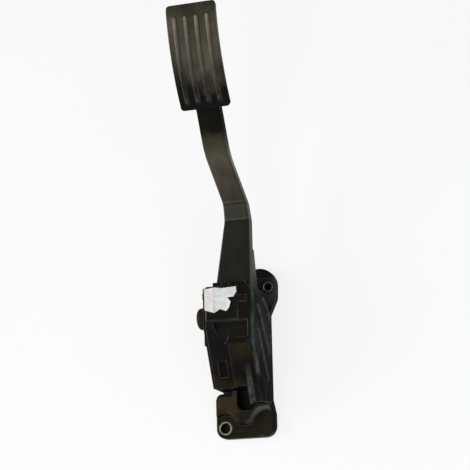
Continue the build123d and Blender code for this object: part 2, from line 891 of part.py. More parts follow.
with BuildPart() as rotor_loop:
    with BuildSketch(Plane.YZ.offset(rotor_left)):
        with Locations((pivot_y, pivot_z)):
            Circle(rotor_radius - loop_thickness)
            Circle(rotor_radius - loop_width, mode=Mode.SUBTRACT)
            with PolarLocations(rotor_radius, 3):
                Rectangle(loop_width, loop_width, mode=Mode.SUBTRACT)
    extrude(amount=-loop_thickness)
rotor_loop.part.label = "rotor_loop"
export_step(rotor_loop.part, "parts/rotor_loop.step")

# Pivot shaft, its two bushes and the thrust washers beside the hub
shaft_left = dome_face + dome_end_wall + shaft_end_gap
shaft_right = housing_right - blind_wall - shaft_end_gap
with BuildPart() as pivot_shaft:
    with BuildSketch(Plane.YZ.offset(shaft_left)):
        with Locations((pivot_y, pivot_z)):
            Circle(shaft_radius)
    extrude(amount=shaft_right - shaft_left)
    chamfer(pivot_shaft.edges().filter_by(GeomType.CIRCLE), length=shaft_chamfer)
pivot_shaft.part.label = "pivot_shaft"
export_step(pivot_shaft.part, "parts/pivot_shaft.step")

with BuildPart() as left_bush:
    with BuildSketch(Plane.YZ.offset(dome_face + dome_end_wall)):
        with Locations((pivot_y, pivot_z)):
            Circle(bush_radius)
            Circle(shaft_radius + run_gap, mode=Mode.SUBTRACT)
    extrude(amount=dome_length - dome_end_wall)
left_bush.part.label = "left_bush"
export_step(left_bush.part, "parts/left_bush.step")

with BuildPart() as right_bush:
    with BuildSketch(Plane.YZ.offset(right_boss_face)):
        with Locations((pivot_y, pivot_z)):
            Circle(bush_radius)
            Circle(shaft_radius + run_gap, mode=Mode.SUBTRACT)
    extrude(amount=housing_right - blind_wall - right_boss_face)
right_bush.part.label = "right_bush"
export_step(right_bush.part, "parts/right_bush.step")

with BuildPart() as thrust_washers:
    for washer_left in (left_boss_face + washer_gap, hub_right + washer_gap):
        with BuildSketch(Plane.YZ.offset(washer_left)):
            with Locations((pivot_y, pivot_z)):
                Circle(shaft_radius + washer_rim)
                Circle(shaft_radius + run_gap, mode=Mode.SUBTRACT)
        extrude(amount=washer_thickness)
thrust_washers.part.label = "thrust_washers"
export_step(thrust_washers.part, "parts/thrust_washers.step")

# Blank of the arm: its side view, cut to its plan
under_corner = (arm_root[0], arm_under_z)
spine_radius = pad_radius - pad_thickness / 2
spine_foot_slope = pad_foot_slope - spine_foot_turn
spine_back = on_pad(pad_radius - pad_thickness - web_thickness, spine_head_slope)
flare_y = slot_start_y + flare_gap
arm_left_edge = arm_mid_x - arm_width / 2
arm_right_edge = arm_mid_x + arm_width / 2
with BuildPart() as arm_blank:
    with BuildSketch(Plane.YZ.offset(arm_entry_left)):
        with BuildLine():
            FilletPolyline(
                (pivot_y, pivot_z + drum_radius),
                arm_root,
                crease_low,
                crease_high,
                knee,
                pad_foot,
                radius=front_bends,
            )
            Line(pad_foot, on_pad(spine_radius, spine_foot_slope))
            ThreePointArc(
                on_pad(spine_radius, spine_foot_slope),
                on_pad(spine_radius, (spine_foot_slope + spine_head_slope) / 2),
                on_pad(spine_radius, spine_head_slope),
            )
            FilletPolyline(
                on_pad(spine_radius, spine_head_slope),
                spine_back,
                under(pad_foot, (neck_slope + pad_foot_slope) / 2),
                under(knee, (shin_slope + neck_slope) / 2),
                under(crease_high, (band_slope + shin_slope) / 2),
                under(crease_low, (arm_flat_slope + band_slope) / 2),
                (root_step_y + root_step_run, crease_low[1] - arm_depth),
                (root_step_y, crease_low[1] - arm_depth - root_step),
                (root_low_y, arm_under_z + root_low_rise),
                under_corner,
                (pivot_y, arm_under_z),
                radius=under_bends,
            )
            Line((pivot_y, arm_under_z), (pivot_y, pivot_z + drum_radius))
        make_face()
    extrude(amount=pad_width, both=True)
    with BuildSketch() as arm_plan:
        with BuildLine():
            FilletPolyline(
                (hub_left, pivot_y),
                (hub_right, pivot_y),
                (hub_right, flare_y),
                (arm_right, flare_y + flare_length),
                (arm_right_edge + band_flare, crease_low[0]),
                (arm_right_edge, crease_high[0]),
                (neck_x + arm_width / 2, knee[0]),
                (neck_x + arm_width / 2, spine_back[0] + web_thickness),
                (neck_x - arm_width / 2, spine_back[0] + web_thickness),
                (neck_x - arm_width / 2, knee[0]),
                (arm_left_edge, crease_high[0]),
                (arm_left_edge, crease_low[0]),
                (arm_entry_left, flare_y + flare_length),
                (hub_left, flare_y),
                radius=(0, 0, *plan_right_bends, *plan_left_bends),
                close=True,
            )
        make_face()
    extrude(amount=pad_center[0], mode=Mode.INTERSECT)
    arm_front = arm_blank.faces().filter_by(lambda face: face.normal_at().Z > 0.5)
    long_edges = [
        edge for face in arm_front for edge in face.edges() if abs(edge.tangent_at(0.5).X) < 0.95
    ]
    fillet(long_edges, radius=arm_edge_radius)

# Channel in the back of the arm, and the zigzag webs left in it
channel_start_y = housing_end + channel_gap
channel_end_y = pad_foot[0] - channel_gap
with BuildPart() as channel:
    with BuildSketch(Plane.YZ.offset(arm_entry_left)):
        with BuildLine():
            Polyline(
                (channel_start_y, 0),
                (channel_start_y, lever_face_z - arm_skin),
                (crease_low[0], crease_low[1] - arm_skin),
                (crease_high[0], crease_high[1] - arm_skin),
                (knee[0], knee[1] - arm_skin),
                (channel_end_y, pad_foot[1] - 2 * arm_skin),
                (channel_end_y, 0),
                close=True,
            )
        make_face()
    extrude(amount=pad_width, both=True)
    with BuildSketch():
        add(arm_plan.sketch)
        offset(amount=-arm_wall)
    extrude(amount=pad_center[0], mode=Mode.INTERSECT)


def arm_edges(y):
    """Left and right edge of the arm at a place along it."""
    stations = [
        (flare_y + flare_length, arm_entry_left, arm_right),
        (crease_low[0], arm_left_edge, arm_right_edge + band_flare),
        (crease_high[0], arm_left_edge, arm_right_edge),
        (knee[0], neck_x - arm_width / 2, neck_x + arm_width / 2),
        (pad_foot[0], neck_x - arm_width / 2, neck_x + arm_width / 2),
    ]
    for low, high in zip(stations, stations[1:]):
        if y <= high[0]:
            break
    share = (y - low[0]) / (high[0] - low[0])
    return [low[side] + share * (high[side] - low[side]) for side in (1, 2)]


web_count = int((channel_end_y - channel_start_y) / web_pitch)
web_points = [
    (arm_edges(channel_start_y + index * web_pitch)[index % 2], channel_start_y + index * web_pitch)
    for index in range(web_count + 1)
]
with BuildPart() as webs:
    with BuildSketch():
        with BuildLine():
            Polyline(*web_points)
        trace(line_width=web_thickness)
    extrude(amount=pad_center[0])
    add(channel.part, mode=Mode.INTERSECT)
    add(arm_blank.part, mode=Mode.INTERSECT)

# Pad plate: a curved plate with a rolled lip at its head
pad_middle_slope = (pad_foot_slope + pad_head_slope) / 2
tip_slope = pad_head_slope - lip_turn
lip_middle_slope = pad_head_slope - lip_turn / 2
pad_back = pad_radius - pad_thickness
lip_back = lip_radius - pad_thickness
with BuildPart() as pad_plate:
    with BuildSketch(Plane.YZ.offset(pad_x - pad_width / 2)):
        with BuildLine():
            ThreePointArc(on_pad(pad_radius, pad_foot_slope), on_pad(pad_radius, pad_middle_slope),
                          on_pad(pad_radius, pad_head_slope))
            ThreePointArc(on_lip(lip_radius, pad_head_slope), on_lip(lip_radius, lip_middle_slope),
                          on_lip(lip_radius, tip_slope))
            Line(on_lip(lip_radius, tip_slope), on_lip(lip_back, tip_slope))
            ThreePointArc(on_lip(lip_back, tip_slope), on_lip(lip_back, lip_middle_slope),
                          on_lip(lip_back, pad_head_slope))
            ThreePointArc(on_pad(pad_back, pad_head_slope), on_pad(pad_back, pad_middle_slope),
                          on_pad(pad_back, pad_foot_slope))
            Line(on_pad(pad_back, pad_foot_slope), on_pad(pad_radius, pad_foot_slope))
        make_face()
    extrude(amount=pad_width)
    corner_edges = pad_plate.edges().filter_by(GeomType.LINE).filter_by(Axis.X, reverse=True)
    fillet(corner_edges, radius=pad_corner)
    seam_y = on_pad(pad_radius, pad_head_slope)[0]
    front_faces = pad_plate.faces().filter_by(
        lambda face: face.geom_type == GeomType.CYLINDER
        and min(abs(face.radius - pad_radius), abs(face.radius - lip_radius)) < fit_gap
    )
    rim_edges = [
        edge for face in front_faces for edge in face.edges() if abs(edge.center().Y - seam_y) > 1.0
    ]
    fillet(rim_edges, radius=pad_edge)

# Pedal lever: arm, hub, heel and pad in one moulding
with BuildPart() as pedal_lever:
    add(arm_blank.part)
    add(channel.part, mode=Mode.SUBTRACT)
    add(webs.part)
    add(pad_plate.part)
    with BuildSketch(Plane.YZ.offset(hub_left)):
        with Locations((pivot_y, pivot_z)):
            Circle(drum_radius)
    extrude(amount=hub_width)
    with BuildSketch(Plane.YZ.offset(hub_x - heel_width / 2)):
        span(heel_front_y, heel_back_y, heel_end_z, pivot_z)
    extrude(amount=heel_width)
    with BuildSketch(Plane.XZ.offset(-heel_front_y)):
        with Locations((hub_x, spring_z)):
            Circle(spigot_radius)
    extrude(amount=spigot_length)
    with BuildSketch(Plane.YZ.offset(hub_left)):
        with Locations((pivot_y, pivot_z)):
            Circle(shaft_radius + fit_gap)
    extrude(amount=hub_width, mode=Mode.SUBTRACT)

    # Raised grip ribs along the pad
    grip_center = pad_radius + grip_proud - grip_radius
    grip_plane = Plane(
        origin=(pad_x, *pad_center),
        x_dir=(1, 0, 0),
        z_dir=(0, -cos(radians(grip_head_slope)), -sin(radians(grip_head_slope))),
    )
    with BuildSketch(grip_plane):
        with Locations((0, grip_center)):
            with GridLocations(grip_pitch, 1, grip_count, 1):
                Circle(grip_radius)
    revolve(axis=Axis((0, *pad_center), (1, 0, 0)),
            revolution_arc=grip_foot_slope - grip_head_slope)
    for end_slope in (grip_head_slope, grip_foot_slope):
        with Locations((pad_x, *on_pad(grip_center, end_slope))):
            with GridLocations(grip_pitch, 1, grip_count, 1):
                Sphere(grip_radius)
pedal_lever.part.label = "pedal_lever"
export_step(pedal_lever.part, "parts/pedal_lever.step")

# Friction lever between the springs and the drum, its lining and its pin
spring_top = spring_z + outer_coil_radius + outer_wire_radius
bar_low_z = spring_top + 3 * body_gap
seat_back_y = seat_y - seat_thickness
seat_low_z = spring_z - outer_coil_radius - outer_wire_radius / 2
friction_face = drum_face_radius + lining_thickness + fit_gap
lining_middle_angle = (lining_low_angle + lining_high_angle) / 2
with BuildPart() as friction_lever:
    with BuildSketch(Plane.YZ.offset(hub_x - friction_width / 2)):
        with BuildLine():
            Polyline(
                around_pivot(friction_face, lining_low_angle),
                (friction_pin_y + shoe_run, friction_pin_z + shoe_rise),
                (friction_pin_y, friction_pin_z + pin_boss_radius),
                (seat_back_y, bar_low_z + pin_boss_radius),
                (seat_back_y, seat_low_z),
                (seat_y, seat_low_z),
                (seat_y, bar_low_z),
                (friction_pin_y, friction_pin_z - pin_boss_radius),
                around_pivot(friction_face, lining_high_angle),
            )
            ThreePointArc(
                around_pivot(friction_face, lining_high_angle),
                around_pivot(friction_face, lining_middle_angle),
                around_pivot(friction_face, lining_low_angle),
            )
        make_face()
    extrude(amount=friction_width)
    with BuildSketch(Plane.XZ.offset(-seat_y)):
        with Locations((hub_x, spring_z)):
            Circle(spigot_radius)
    extrude(amount=-spigot_length)
    with BuildSketch(Plane.YZ.offset(hub_x - friction_width / 2)):
        with Locations((friction_pin_y, friction_pin_z)):
            Circle(friction_pin_radius + run_gap)
    extrude(amount=friction_width, mode=Mode.SUBTRACT)
friction_lever.part.label = "friction_lever"
export_step(friction_lever.part, "parts/friction_lever.step")

with BuildPart() as friction_lining:
    with BuildSketch(Plane.YZ.offset(hub_x - friction_width / 2 + lining_thickness)):
        with BuildLine():
            outer_face = drum_face_radius + lining_thickness
            ThreePointArc(
                around_pivot(outer_face, lining_low_angle),
                around_pivot(outer_face, lining_middle_angle),
                around_pivot(outer_face, lining_high_angle),
            )
            Line(around_pivot(outer_face, lining_high_angle),
                 around_pivot(drum_face_radius, lining_high_angle))
            ThreePointArc(
                around_pivot(drum_face_radius, lining_high_angle),
                around_pivot(drum_face_radius, lining_middle_angle),
                around_pivot(drum_face_radius, lining_low_angle),
            )
            Line(around_pivot(drum_face_radius, lining_low_angle),
                 around_pivot(outer_face, lining_low_angle))
        make_face()
    extrude(amount=friction_width - 2 * lining_thickness)
friction_lining.part.label = "friction_lining"
export_step(friction_lining.part, "parts/friction_lining.step")

with BuildPart() as friction_pin:
    with BuildSketch(Plane.YZ.offset(partition_left + plate_gap)):
        with Locations((friction_pin_y, friction_pin_z)):
            Circle(friction_pin_radius)
    extrude(amount=housing_right - blind_wall - partition_left - 2 * plate_gap)
friction_pin.part.label = "friction_pin"
export_step(friction_pin.part, "parts/friction_pin.step")

# Return springs, one inside the other, between the friction lever and the heel
def coil_spring(coil_radius, wire_radius, turns, lefthand):
    """A coil of wire that reaches from the friction lever's seat to the heel."""
    height = heel_front_y - seat_y - 2 * wire_radius
    with BuildPart() as spring:
        with BuildLine() as path:
            Helix(height / turns, height, coil_radius, direction=(0, 1, 0), lefthand=lefthand,
                  center=(hub_x, seat_y + wire_radius, spring_z))
        with BuildSketch(Plane(origin=path.line @ 0, z_dir=path.line % 0)):
            RegularPolygon(wire_radius, wire_sides)
        sweep(is_frenet=True)
    return spring.part


outer_spring = coil_spring(outer_coil_radius, outer_wire_radius, outer_turns, False)
outer_spring.label = "outer_spring"
export_step(outer_spring, "parts/outer_spring.step")

inner_spring = coil_spring(inner_coil_radius, inner_wire_radius, inner_turns, True)
inner_spring.label = "inner_spring"
export_step(inner_spring, "parts/inner_spring.step")

# Rubber stops on the post: the heel rests on one, the arm lands on the other
with BuildPart() as idle_stop:
    with BuildSketch(Plane.YZ.offset(hub_x - idle_stop_width / 2)):
        span(post_y - idle_stop_depth, post_y, rear_plate, post_top)
    extrude(amount=idle_stop_width)
    fillet(idle_stop.faces().sort_by(Axis.Y)[0].edges(), radius=stop_edge)
idle_stop.part.label = "idle_stop"
export_step(idle_stop.part, "parts/idle_stop.step")

full_stop_top = pressed(*under_corner)[1] - body_gap
with BuildPart() as full_stop:
    with BuildSketch(Plane.XY.offset(post_top)):
        span(hub_x - post_width / 2, hub_x + post_width / 2, post_y, post_y + post_thickness)
    extrude(amount=full_stop_top - post_top)
    fillet(full_stop.faces().sort_by(Axis.Z)[-1].edges(), radius=stop_edge)
full_stop.part.label = "full_stop"
export_step(full_stop.part, "parts/full_stop.step")

# Steel sleeves that take the clamping load of the fixings
with BuildPart() as lower_sleeve:
    with BuildSketch():
        Circle(sleeve_radius)
        Circle(sleeve_bore / 2, mode=Mode.SUBTRACT)
    extrude(amount=foot_height)
lower_sleeve.part.label = "lower_sleeve"
export_step(lower_sleeve.part, "parts/lower_sleeve.step")

with BuildPart() as upper_sleeve:
    with BuildSketch():
        with Locations((upper_fixing_x, upper_fixing_y)):
            Circle(upper_sleeve_radius)
            Circle(upper_bore / 2, mode=Mode.SUBTRACT)
    extrude(amount=foot_height)
upper_sleeve.part.label = "upper_sleeve"
export_step(upper_sleeve.part, "parts/upper_sleeve.step")

# Torn remains of a blank paper label on the roof panel
label_back_y = housing_end - label_inset
with BuildPart() as paper_label:
    with BuildSketch(Plane.XY.offset(housing_height + panel_height)):
        with BuildLine():
            Polyline(*[(x, label_back_y - drop) for x, drop in label_edge], close=True)
        make_face()
    extrude(amount=label_thickness)
paper_label.part.label = "paper_label"
export_step(paper_label.part, "parts/paper_label.step")
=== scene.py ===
import json
import math

import bpy
from bpy.props import FloatProperty, FloatVectorProperty, IntProperty, PointerProperty
from mathutils import Matrix, Vector, noise


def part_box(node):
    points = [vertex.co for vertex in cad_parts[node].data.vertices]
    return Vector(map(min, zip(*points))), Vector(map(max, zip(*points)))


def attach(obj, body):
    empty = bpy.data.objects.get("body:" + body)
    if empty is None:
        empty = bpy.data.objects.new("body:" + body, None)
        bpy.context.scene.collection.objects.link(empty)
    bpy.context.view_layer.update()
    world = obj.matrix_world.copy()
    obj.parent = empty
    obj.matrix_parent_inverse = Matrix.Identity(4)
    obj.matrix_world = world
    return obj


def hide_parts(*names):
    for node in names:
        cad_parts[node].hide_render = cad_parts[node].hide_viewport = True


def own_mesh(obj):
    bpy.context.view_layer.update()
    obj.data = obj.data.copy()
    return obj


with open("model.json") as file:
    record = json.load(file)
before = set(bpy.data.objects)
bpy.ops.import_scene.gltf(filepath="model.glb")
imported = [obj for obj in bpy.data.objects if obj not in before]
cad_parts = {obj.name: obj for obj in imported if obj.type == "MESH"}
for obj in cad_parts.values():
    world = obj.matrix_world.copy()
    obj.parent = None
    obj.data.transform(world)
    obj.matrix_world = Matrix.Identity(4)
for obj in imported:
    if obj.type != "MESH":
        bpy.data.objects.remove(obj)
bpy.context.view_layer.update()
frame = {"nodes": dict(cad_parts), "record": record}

bl_info = {
    "name": "Accelerator Pedal Finish",
    "version": (1, 0, 0),
    "blender": (4, 5, 0),
    "location": "View3D > Sidebar > Pedal",
    "description": "Finishes, rolled edges, springs, label and studio for an accelerator pedal",
    "category": "Object",
}

MM = 0.001
X_AXIS = Vector((1, 0, 0))

# Points nearer than this are joined, and points that stand off the CAD surface by more than this
# share of a rolled edge's width are put back onto it
MERGE = 1e-6
STRAY_SHARE = 0.6

# Angles between faces from which an edge is rolled, chamfered or shaded as sharp
ROLL_ANGLE = math.radians(33)
CHAMFER_ANGLE = math.radians(40)
SHARP_ANGLE = math.radians(40)
COIL_SHARP_ANGLE = math.radians(50)
PAPER_SHARP_ANGLE = math.radians(24)

# Facets of the round pieces
SLEEVE_SIDES = 72
WIRE_SIDES = 12
STEPS_A_TURN = 28

# Shares of a face's normal by which it lies flat, or looks into a bore
FLAT_Z = 0.9
INWARD = -0.8

# Numbers of the Mix node's colour sockets, whose names other sockets of the node share
MIX_A, MIX_B, MIX_RESULT = 6, 7, 2

# Stretches that draw a pattern out along X or Z
DRAWN_X = (0.04, 1.0, 1.0)
DRAWN_Z = (1.0, 1.0, 0.04)

# The pad's surface is part of a cylinder along X: its axis, its radius and its ribs' crests
PAD_AXIS = (351.475 * MM, -36.401 * MM)
PAD_RADIUS = 162.0 * MM
CREST_RADII = (PAD_RADIUS + 0.2 * MM, PAD_RADIUS + 0.8 * MM)

# Places along the pad: its foot, where its ribs grow pale with wear and painted highlight, where
# their painted highlight tips end, and its lip
PAD_FOOT_Y = 252.0 * MM
RUBBED_Y = (PAD_FOOT_Y + 30 * MM, PAD_FOOT_Y + 60 * MM)
TIPS_Y = (PAD_FOOT_Y + 2 * MM, PAD_FOOT_Y + 6 * MM)
PAD_LIP_Y = (313.0 * MM, 318.0 * MM)

# Places along the lever where dust grows, and between which the shin has a painted highlight and
# the neck painted shade, and how far the ends of the last two wander
ARM_FILM_Y = (PAD_FOOT_Y - 90 * MM, PAD_FOOT_Y - 40 * MM)
SHIN_LOW_Y = (188.0 * MM, 210.0 * MM)
SHIN_HIGH_Y = (230.0 * MM, 208.0 * MM)
SHADE_LOW_Y = (PAD_FOOT_Y - 36 * MM, PAD_FOOT_Y - 13 * MM)
SHADE_HIGH_Y = (PAD_FOOT_Y + 30 * MM, PAD_FOOT_Y + 6 * MM)
RAGGED = 9.0 * MM

# Places along the arm of the two creases beside its cranked band, and the distance and half the
# width of the painted highlight line above each and the painted shadow line below it
CREASES_Y = (164.0 * MM, 178.0 * MM)
PALE_ABOVE = 0.9 * MM
PALE_HALF = 0.9 * MM
DARK_BELOW = 0.7 * MM
DARK_HALF = 0.6 * MM

# The paper is folded along Y, creased along X and curls up at its right end
PAPER_LOW, PAPER_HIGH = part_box("paper_label")
FOLD_X = PAPER_LOW.x + 7.4 * MM
FOLD_WIDTH = 2.1 * MM
CREASE_Y = PAPER_HIGH.y - 7.2 * MM
CREASE_WIDTH = 0.5 * MM
CURL_X = PAPER_LOW.x + 19.0 * MM
CURL_REACH = 19.0 * MM
# How far painted shade reaches either side of the fold and the crease
CREASE_SHADE_REACH = 1.3 * MM

# Small facets and ripples of the paper, and the share of each form in its height
FACET_SIZE = 6.5 * MM
FACET_GAIN = 1.6
RIPPLE_SCALE = 2.3
FACET_SHARE, RIPPLE_SHARE, FOLD_SHARE, LEDGE_SHARE, CURL_SHARE = 0.4, 0.2, 0.8, 0.7, 2.5

# Yellowed left end of the paper, and the facet that has painted shade above the crease and a
# painted highlight below it
CREAM_X = (PAPER_LOW.x + 1.5 * MM, PAPER_LOW.x + 9.0 * MM)
FACET_X = (PAPER_LOW.x + 17.2 * MM, PAPER_LOW.x + 18.8 * MM)

# Parts of the normal by which a face of the housing looks up or belongs to the slope, the ramp,
# a side wall or the rounded corner over the right wall
UPWARD_Z = (0.25, 0.95)
SLOPE_FACING_Y = (-0.30, -0.40)
SLOPE_FACING_Z = (0.5, 0.7)
RAMP_FACING_Y = (-0.05, -0.30)
WALL_FACING_X = (0.7, 0.95)
CORNER_FACING_LOW_X = (0.15, 0.60)
CORNER_FACING_HIGH_X = (1.0, 0.85)

# Brown dust lies thick up to one place along the housing and fades out at another
DUST_FULL_Y = 22.0 * MM
DUST_END_Y = 42.0 * MM

# Heights of the foot's plate, which stays cleaner, and of the slab on it
PLATE_TOP_Z = 9.5 * MM
SLAB_TOP_Z = 13.5 * MM

# Places between which dust grows on the sensor's dome
DOME_X = (-6.0 * MM, -9.0 * MM)

# The rounded ramp from the slab down to the plate: where its painted highlight grows, its ends
# along Y and how far its rounding reaches above the slab
RAMP_X = (17.0 * MM, 29.0 * MM)
RAMP_Y = (2.0 * MM, 25.0 * MM)
RAMP_ROUND = 0.7 * MM

# The raised panel of the slope, and the rib that runs down beside it
PANEL_X = (15.0 * MM, 16.5 * MM)
PANEL_FILM_Y = (42.0 * MM, 54.0 * MM)
PANEL_END_Y = 66.0 * MM
SLOPE_RIB_LEFT_X = (27.2 * MM, 28.0 * MM)
SLOPE_RIB_RIGHT_X = (33.0 * MM, 31.0 * MM)
SLOPE_RIB_END_Y = (48.0 * MM, 36.0 * MM)

# The right wall, the ribs that stand out from it and the rounded corner over it, which get painted
# grey highlights
WALL_HIGHLIGHT_Y = (44.0 * MM, 62.0 * MM)
WALL_RIB_X = (39.4 * MM, 40.3 * MM)
CORNER_X = 34.0 * MM
CORNER_Y = (32.0 * MM, 40.0 * MM)

# The ear begins at one place along the housing, and its painted light fades between two others
EAR_Y = 98.0 * MM
EAR_LIGHT_Y = (118.0 * MM, 124.0 * MM)

# Places of the floor that are seen through the two sleeves, where shade is painted, and how wide
# they are
BORES = ((0.0, 0.0, 0.0), (39.2 * MM, 114.6 * MM, 0.0))
BORE_INNER = 4.6 * MM
BORE_OUTER = 5.4 * MM

# The floor's width, and how far it lies below the foot
FLOOR_SIZE = 8.0
FLOOR_DROP = 0.2 * MM


class PedalSizes(bpy.types.PropertyGroup):
    """Sizes of the rolled edges, the springs and the paper."""

    housing_edge: FloatProperty(
        name="Housing edge", description="Width of the rolled edges of the housing",
        default=0.55 * MM, min=0, unit="LENGTH")
    cover_edge: FloatProperty(
        name="Cover edge", description="Width of the rolled edges of both covers",
        default=0.35 * MM, min=0, unit="LENGTH")
    lever_edge: FloatProperty(
        name="Lever edge", description="Width of the rolled edges of the lever",
        default=0.4 * MM, min=0, unit="LENGTH")
    screw_edge: FloatProperty(
        name="Screw edge", description="Width of the rolled edges of the screw heads",
        default=0.25 * MM, min=0, unit="LENGTH")
    sleeve_chamfer: FloatProperty(
        name="Sleeve chamfer", description="Width of the chamfers of the fixing sleeves",
        default=0.3 * MM, min=0, unit="LENGTH")
    lower_wall: FloatProperty(
        name="Lower sleeve wall", description="Wall of the lower fixing sleeve",
        default=1.4 * MM, min=0, unit="LENGTH")
    upper_wall: FloatProperty(
        name="Upper sleeve wall", description="Wall of the upper fixing sleeve",
        default=1.0 * MM, min=0, unit="LENGTH")
    edge_segments: IntProperty(
        name="Edge segments", description="Facets across a rolled edge", default=2, min=1, max=6)
    outer_wire: FloatProperty(
        name="Outer wire", description="Wire radius of the outer spring",
        default=0.9 * MM, min=0, unit="LENGTH")
    outer_turns: FloatProperty(
        name="Outer turns", description="Turns of the outer spring", default=6.5, min=1)
    inner_wire: FloatProperty(
        name="Inner wire", description="Wire radius of the inner spring",
        default=0.6 * MM, min=0, unit="LENGTH")
    inner_turns: FloatProperty(
        name="Inner turns", description="Turns of the inner spring", default=-7.5)
    outer_keep: FloatProperty(
        name="Outer keep", description="Share of the outer spring's length left at full travel",
        default=0.82, min=0.1, max=1, subtype="FACTOR")
    inner_keep: FloatProperty(
        name="Inner keep", description="Share of the inner spring's length left at full travel",
        default=0.73, min=0.1, max=1, subtype="FACTOR")
    paper_pitch: FloatProperty(
        name="Paper pitch", description="Distance between the points of the paper",
        default=0.7 * MM, min=0.2 * MM, unit="LENGTH")
    paper_crease: FloatProperty(
        name="Paper crease", description="Height of the creases in the paper",
        default=0.9 * MM, min=0, unit="LENGTH")
    paper_thickness: FloatProperty(
        name="Paper thickness", description="Thickness of the paper",
        default=0.14 * MM, min=0, unit="LENGTH")


class PedalColours(bpy.types.PropertyGroup):
    """Colours of the finishes."""

    plastic: FloatVectorProperty(
        name="Plastic", description="Black moulded plastic of the housing",
        default=(0.0026, 0.0024, 0.0021), subtype="COLOR", min=0, max=1)
    dust: FloatVectorProperty(
        name="Dust", description="Thin dust film on the housing",
        default=(0.041, 0.027, 0.0085), subtype="COLOR", min=0, max=1)
    # Dust on the lever, and painted highlight on its shin, above its creases and on rolled edges
    lever_dust_and_highlight: FloatVectorProperty(
        name="Lever dust", description="Thin dust film on the lever and on rolled edges",
        default=(0.104, 0.087, 0.056), subtype="COLOR", min=0, max=1)
    # Painted grey highlight on the ramp, ribs, right wall, its corner and the ear, and on the
    # lever's band
    highlight_grey: FloatVectorProperty(
        name="Grey dust", description="Grey film on ramp, ribs, right wall and ear",
        default=(0.070, 0.079, 0.073), subtype="COLOR", min=0, max=1)
    # Painted shade at the lever's neck where the pad begins, and in the painted shadow lines under
    # the creases
    painted_shade: FloatVectorProperty(
        name="Grime", description="Dark grime where the pad begins",
        default=(0.0036, 0.0026, 0.0011), subtype="COLOR", min=0, max=1)
    lever: FloatVectorProperty(
        name="Lever", description="Black moulded plastic of the lever",
        default=(0.0060, 0.0057, 0.0050), subtype="COLOR", min=0, max=1)
    # Wear on the rib crests, with a painted highlight on them and on their tips
    rubbed_and_highlit: FloatVectorProperty(
        name="Rubbed", description="Plastic rubbed pale on the grip ribs",
        default=(0.200, 0.172, 0.122), subtype="COLOR", min=0, max=1)
    steel: FloatVectorProperty(
        name="Steel", description="Zinc-coated steel of screws and shaft",
        default=(0.46, 0.45, 0.43), subtype="COLOR", min=0, max=1)
    sleeve: FloatVectorProperty(
        name="Sleeve", description="Dull zinc of the fixing sleeves",
        default=(0.27, 0.245, 0.190), subtype="COLOR", min=0, max=1)
    bore: FloatVectorProperty(
        name="Bore", description="Tarnished inside of the fixing sleeves",
        default=(0.050, 0.041, 0.026), subtype="COLOR", min=0, max=1)
    wire: FloatVectorProperty(
        name="Wire", description="Drawn spring wire",
        default=(0.27, 0.27, 0.28), subtype="COLOR", min=0, max=1)
    rubber: FloatVectorProperty(
        name="Rubber", description="Rubber of stops and seal",
        default=(0.02, 0.02, 0.02), subtype="COLOR", min=0, max=1)
    bearing: FloatVectorProperty(
        name="Bearing plastic", description="Natural plastic of bushes and friction lever",
        default=(0.55, 0.52, 0.45), subtype="COLOR", min=0, max=1)
    lining: FloatVectorProperty(
        name="Lining", description="Friction lining",
        default=(0.075, 0.058, 0.045), subtype="COLOR", min=0, max=1)
    board: FloatVectorProperty(
        name="Board", description="Coated circuit board",
        default=(0.014, 0.10, 0.045), subtype="COLOR", min=0, max=1)
    brass: FloatVectorProperty(
        name="Brass", description="Brass of pins and loop",
        default=(0.62, 0.44, 0.18), subtype="COLOR", min=0, max=1)
    paper: FloatVectorProperty(
        name="Paper", description="Blank paper label",
        default=(0.79, 0.81, 0.82), subtype="COLOR", min=0, max=1)
    # Stains of the paper, and painted shade along its fold and crease and on a facet
    paper_stain_and_shade: FloatVectorProperty(
        name="Paper shade", description="Rubbed and stained places of the paper",
        default=(0.60, 0.57, 0.58), subtype="COLOR", min=0, max=1)
    paper_cream: FloatVectorProperty(
        name="Paper cream", description="Yellowed end of the paper",
        default=(0.79, 0.735, 0.68), subtype="COLOR", min=0, max=1)


